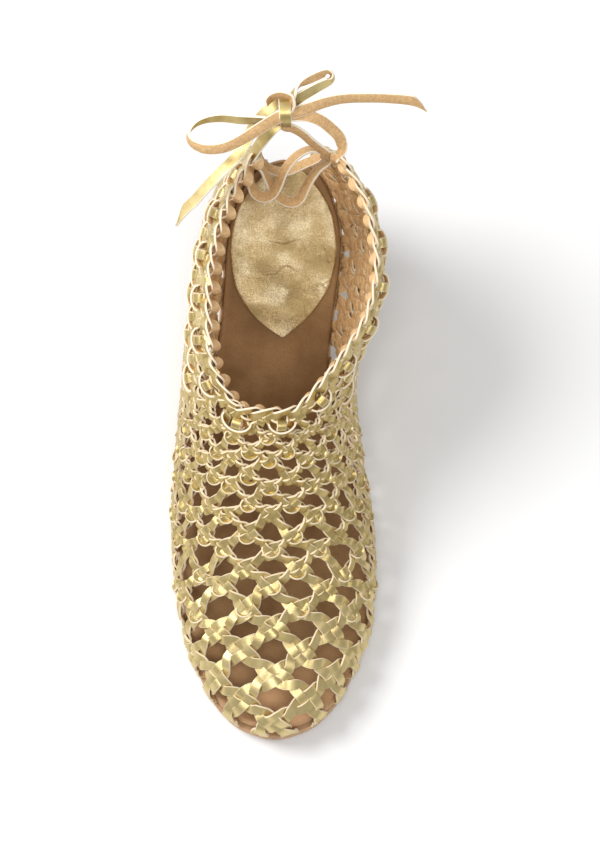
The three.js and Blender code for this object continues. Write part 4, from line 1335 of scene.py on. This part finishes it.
def makeRubber(look):
    # black with fine specks
    material, shader, wire, place = newFinish("liftRubber")
    speck = place.noise(*look["speck"])
    colour = speck.between(*look["paleFrom"]).mix(look["dark"], look["pale"])
    feed(shader, colour=colour, roughness=0.7 + 0.15 * speck, normal=speck.bump(*look["relief"]))
    return material


def makeHeel(look, rubber):
    # outline drawn in towards the heel's axis: scale = taper + a * share + b * share^2 up the heel
    rows = np.linspace(look["breastRow"], lastRow, look["rows"])
    lateral, medial = (edgePoint(side, rows, look["grow"], look["rise"]) for side in (0, 1))
    edge = np.concatenate([lateral, medial[::-1]])
    axis = np.array(look["axis"], float)
    share = np.linspace(0, 1, look["levels"])
    bend = 4 * (look["waist"] - (1 + look["taper"]) / 2)
    scale = look["taper"] + (1 - look["taper"]) * share + bend * share * (1 - share)
    plan = axis + (edge[:, :2] - axis)[None] * scale[:, None, None]
    level = look["lift"] + (edge[None, :, 2] - look["lift"]) * share[:, None]
    rings = np.concatenate([plan, level[..., None]], 2)
    block = addCapped("heel_stack", rings, makeStackedLeather(look))
    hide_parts("heel_block")
    scale, height = np.array(rubber["side"]).T
    foot = axis + (edge[:, :2] - axis)[None] * (scale * look["taper"])[:, None, None]
    level = np.broadcast_to(height[:, None], foot.shape[:2])
    lift = addCapped("heel_lift_rubber", np.concatenate([foot, level[..., None]], 2), makeRubber(rubber))
    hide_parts("top_lift")


def addCapped(name, rings, material):
    # stacked rings whose two ends are closed by strips of quads from the lateral to the medial half
    count, places = rings.shape[:2]
    k = np.arange(places // 2 - 1)
    under = np.stack([k, k + 1, places - 2 - k, places - 1 - k], -1)
    over = (count - 1) * places + np.stack([k, places - 1 - k, places - 2 - k, k + 1], -1)
    return addPiece(name, rings.reshape(-1, 3), [ringQuads(count, places), under, over], material)


makeHeel(stackedHeel, liftRubber)
print("sole and heel made")

# floor and light; each lamp: name, place, aim, width, power
studio = {
    "floor": (0.86, 0.86, 0.86),
    "floorSize": 3.0,
    "fill": 0.42,
    "lamps": [
        ("keyLamp", (-0.9, 0.3, 1.3), (0, 0.03, 0.05), 0.8, 20),
        ("topLamp", (0.15, -0.5, 1.7), (0, 0.03, 0.05), 0.9, 12),
    ],
}


def makeStudio(look):
    # square of paper, even white light all round, round lamps turned to what they aim at
    size = look["floorSize"]
    corners = [(x * size, y * size, 0) for x, y in ((-1, -1), (1, -1), (1, 1), (-1, 1))]
    mesh = bpy.data.meshes.new("floor")
    mesh.from_pydata(corners, [], [(0, 1, 2, 3)])
    floor = bpy.data.objects.new("floor", mesh)
    material, shader = newFinish("floorPaper")[:2]
    feed(shader, colour=look["floor"], roughness=0.9)
    mesh.materials.append(material)
    bpy.context.scene.collection.objects.link(floor)
    world = bpy.data.worlds.new("studio")
    world.use_nodes = True
    colour, strength = world.node_tree.nodes["Background"].inputs[:2]
    colour.default_value, strength.default_value = (1, 1, 1, 1), look["fill"]
    bpy.context.scene.world = world
    for name, at, aim, width, power in look["lamps"]:
        data = bpy.data.lights.new(name, "AREA")
        data.shape, data.size, data.energy = "DISK", width, power
        lamp = bpy.data.objects.new(name, data)
        lamp.location = at
        lamp.rotation_euler = (Vector(aim) - Vector(at)).to_track_quat("-Z", "Y").to_euler()
        bpy.context.scene.collection.objects.link(lamp)


makeStudio(studio)
view = bpy.context.scene.view_settings
view.view_transform, view.look, view.exposure = "Standard", "None", 0.0
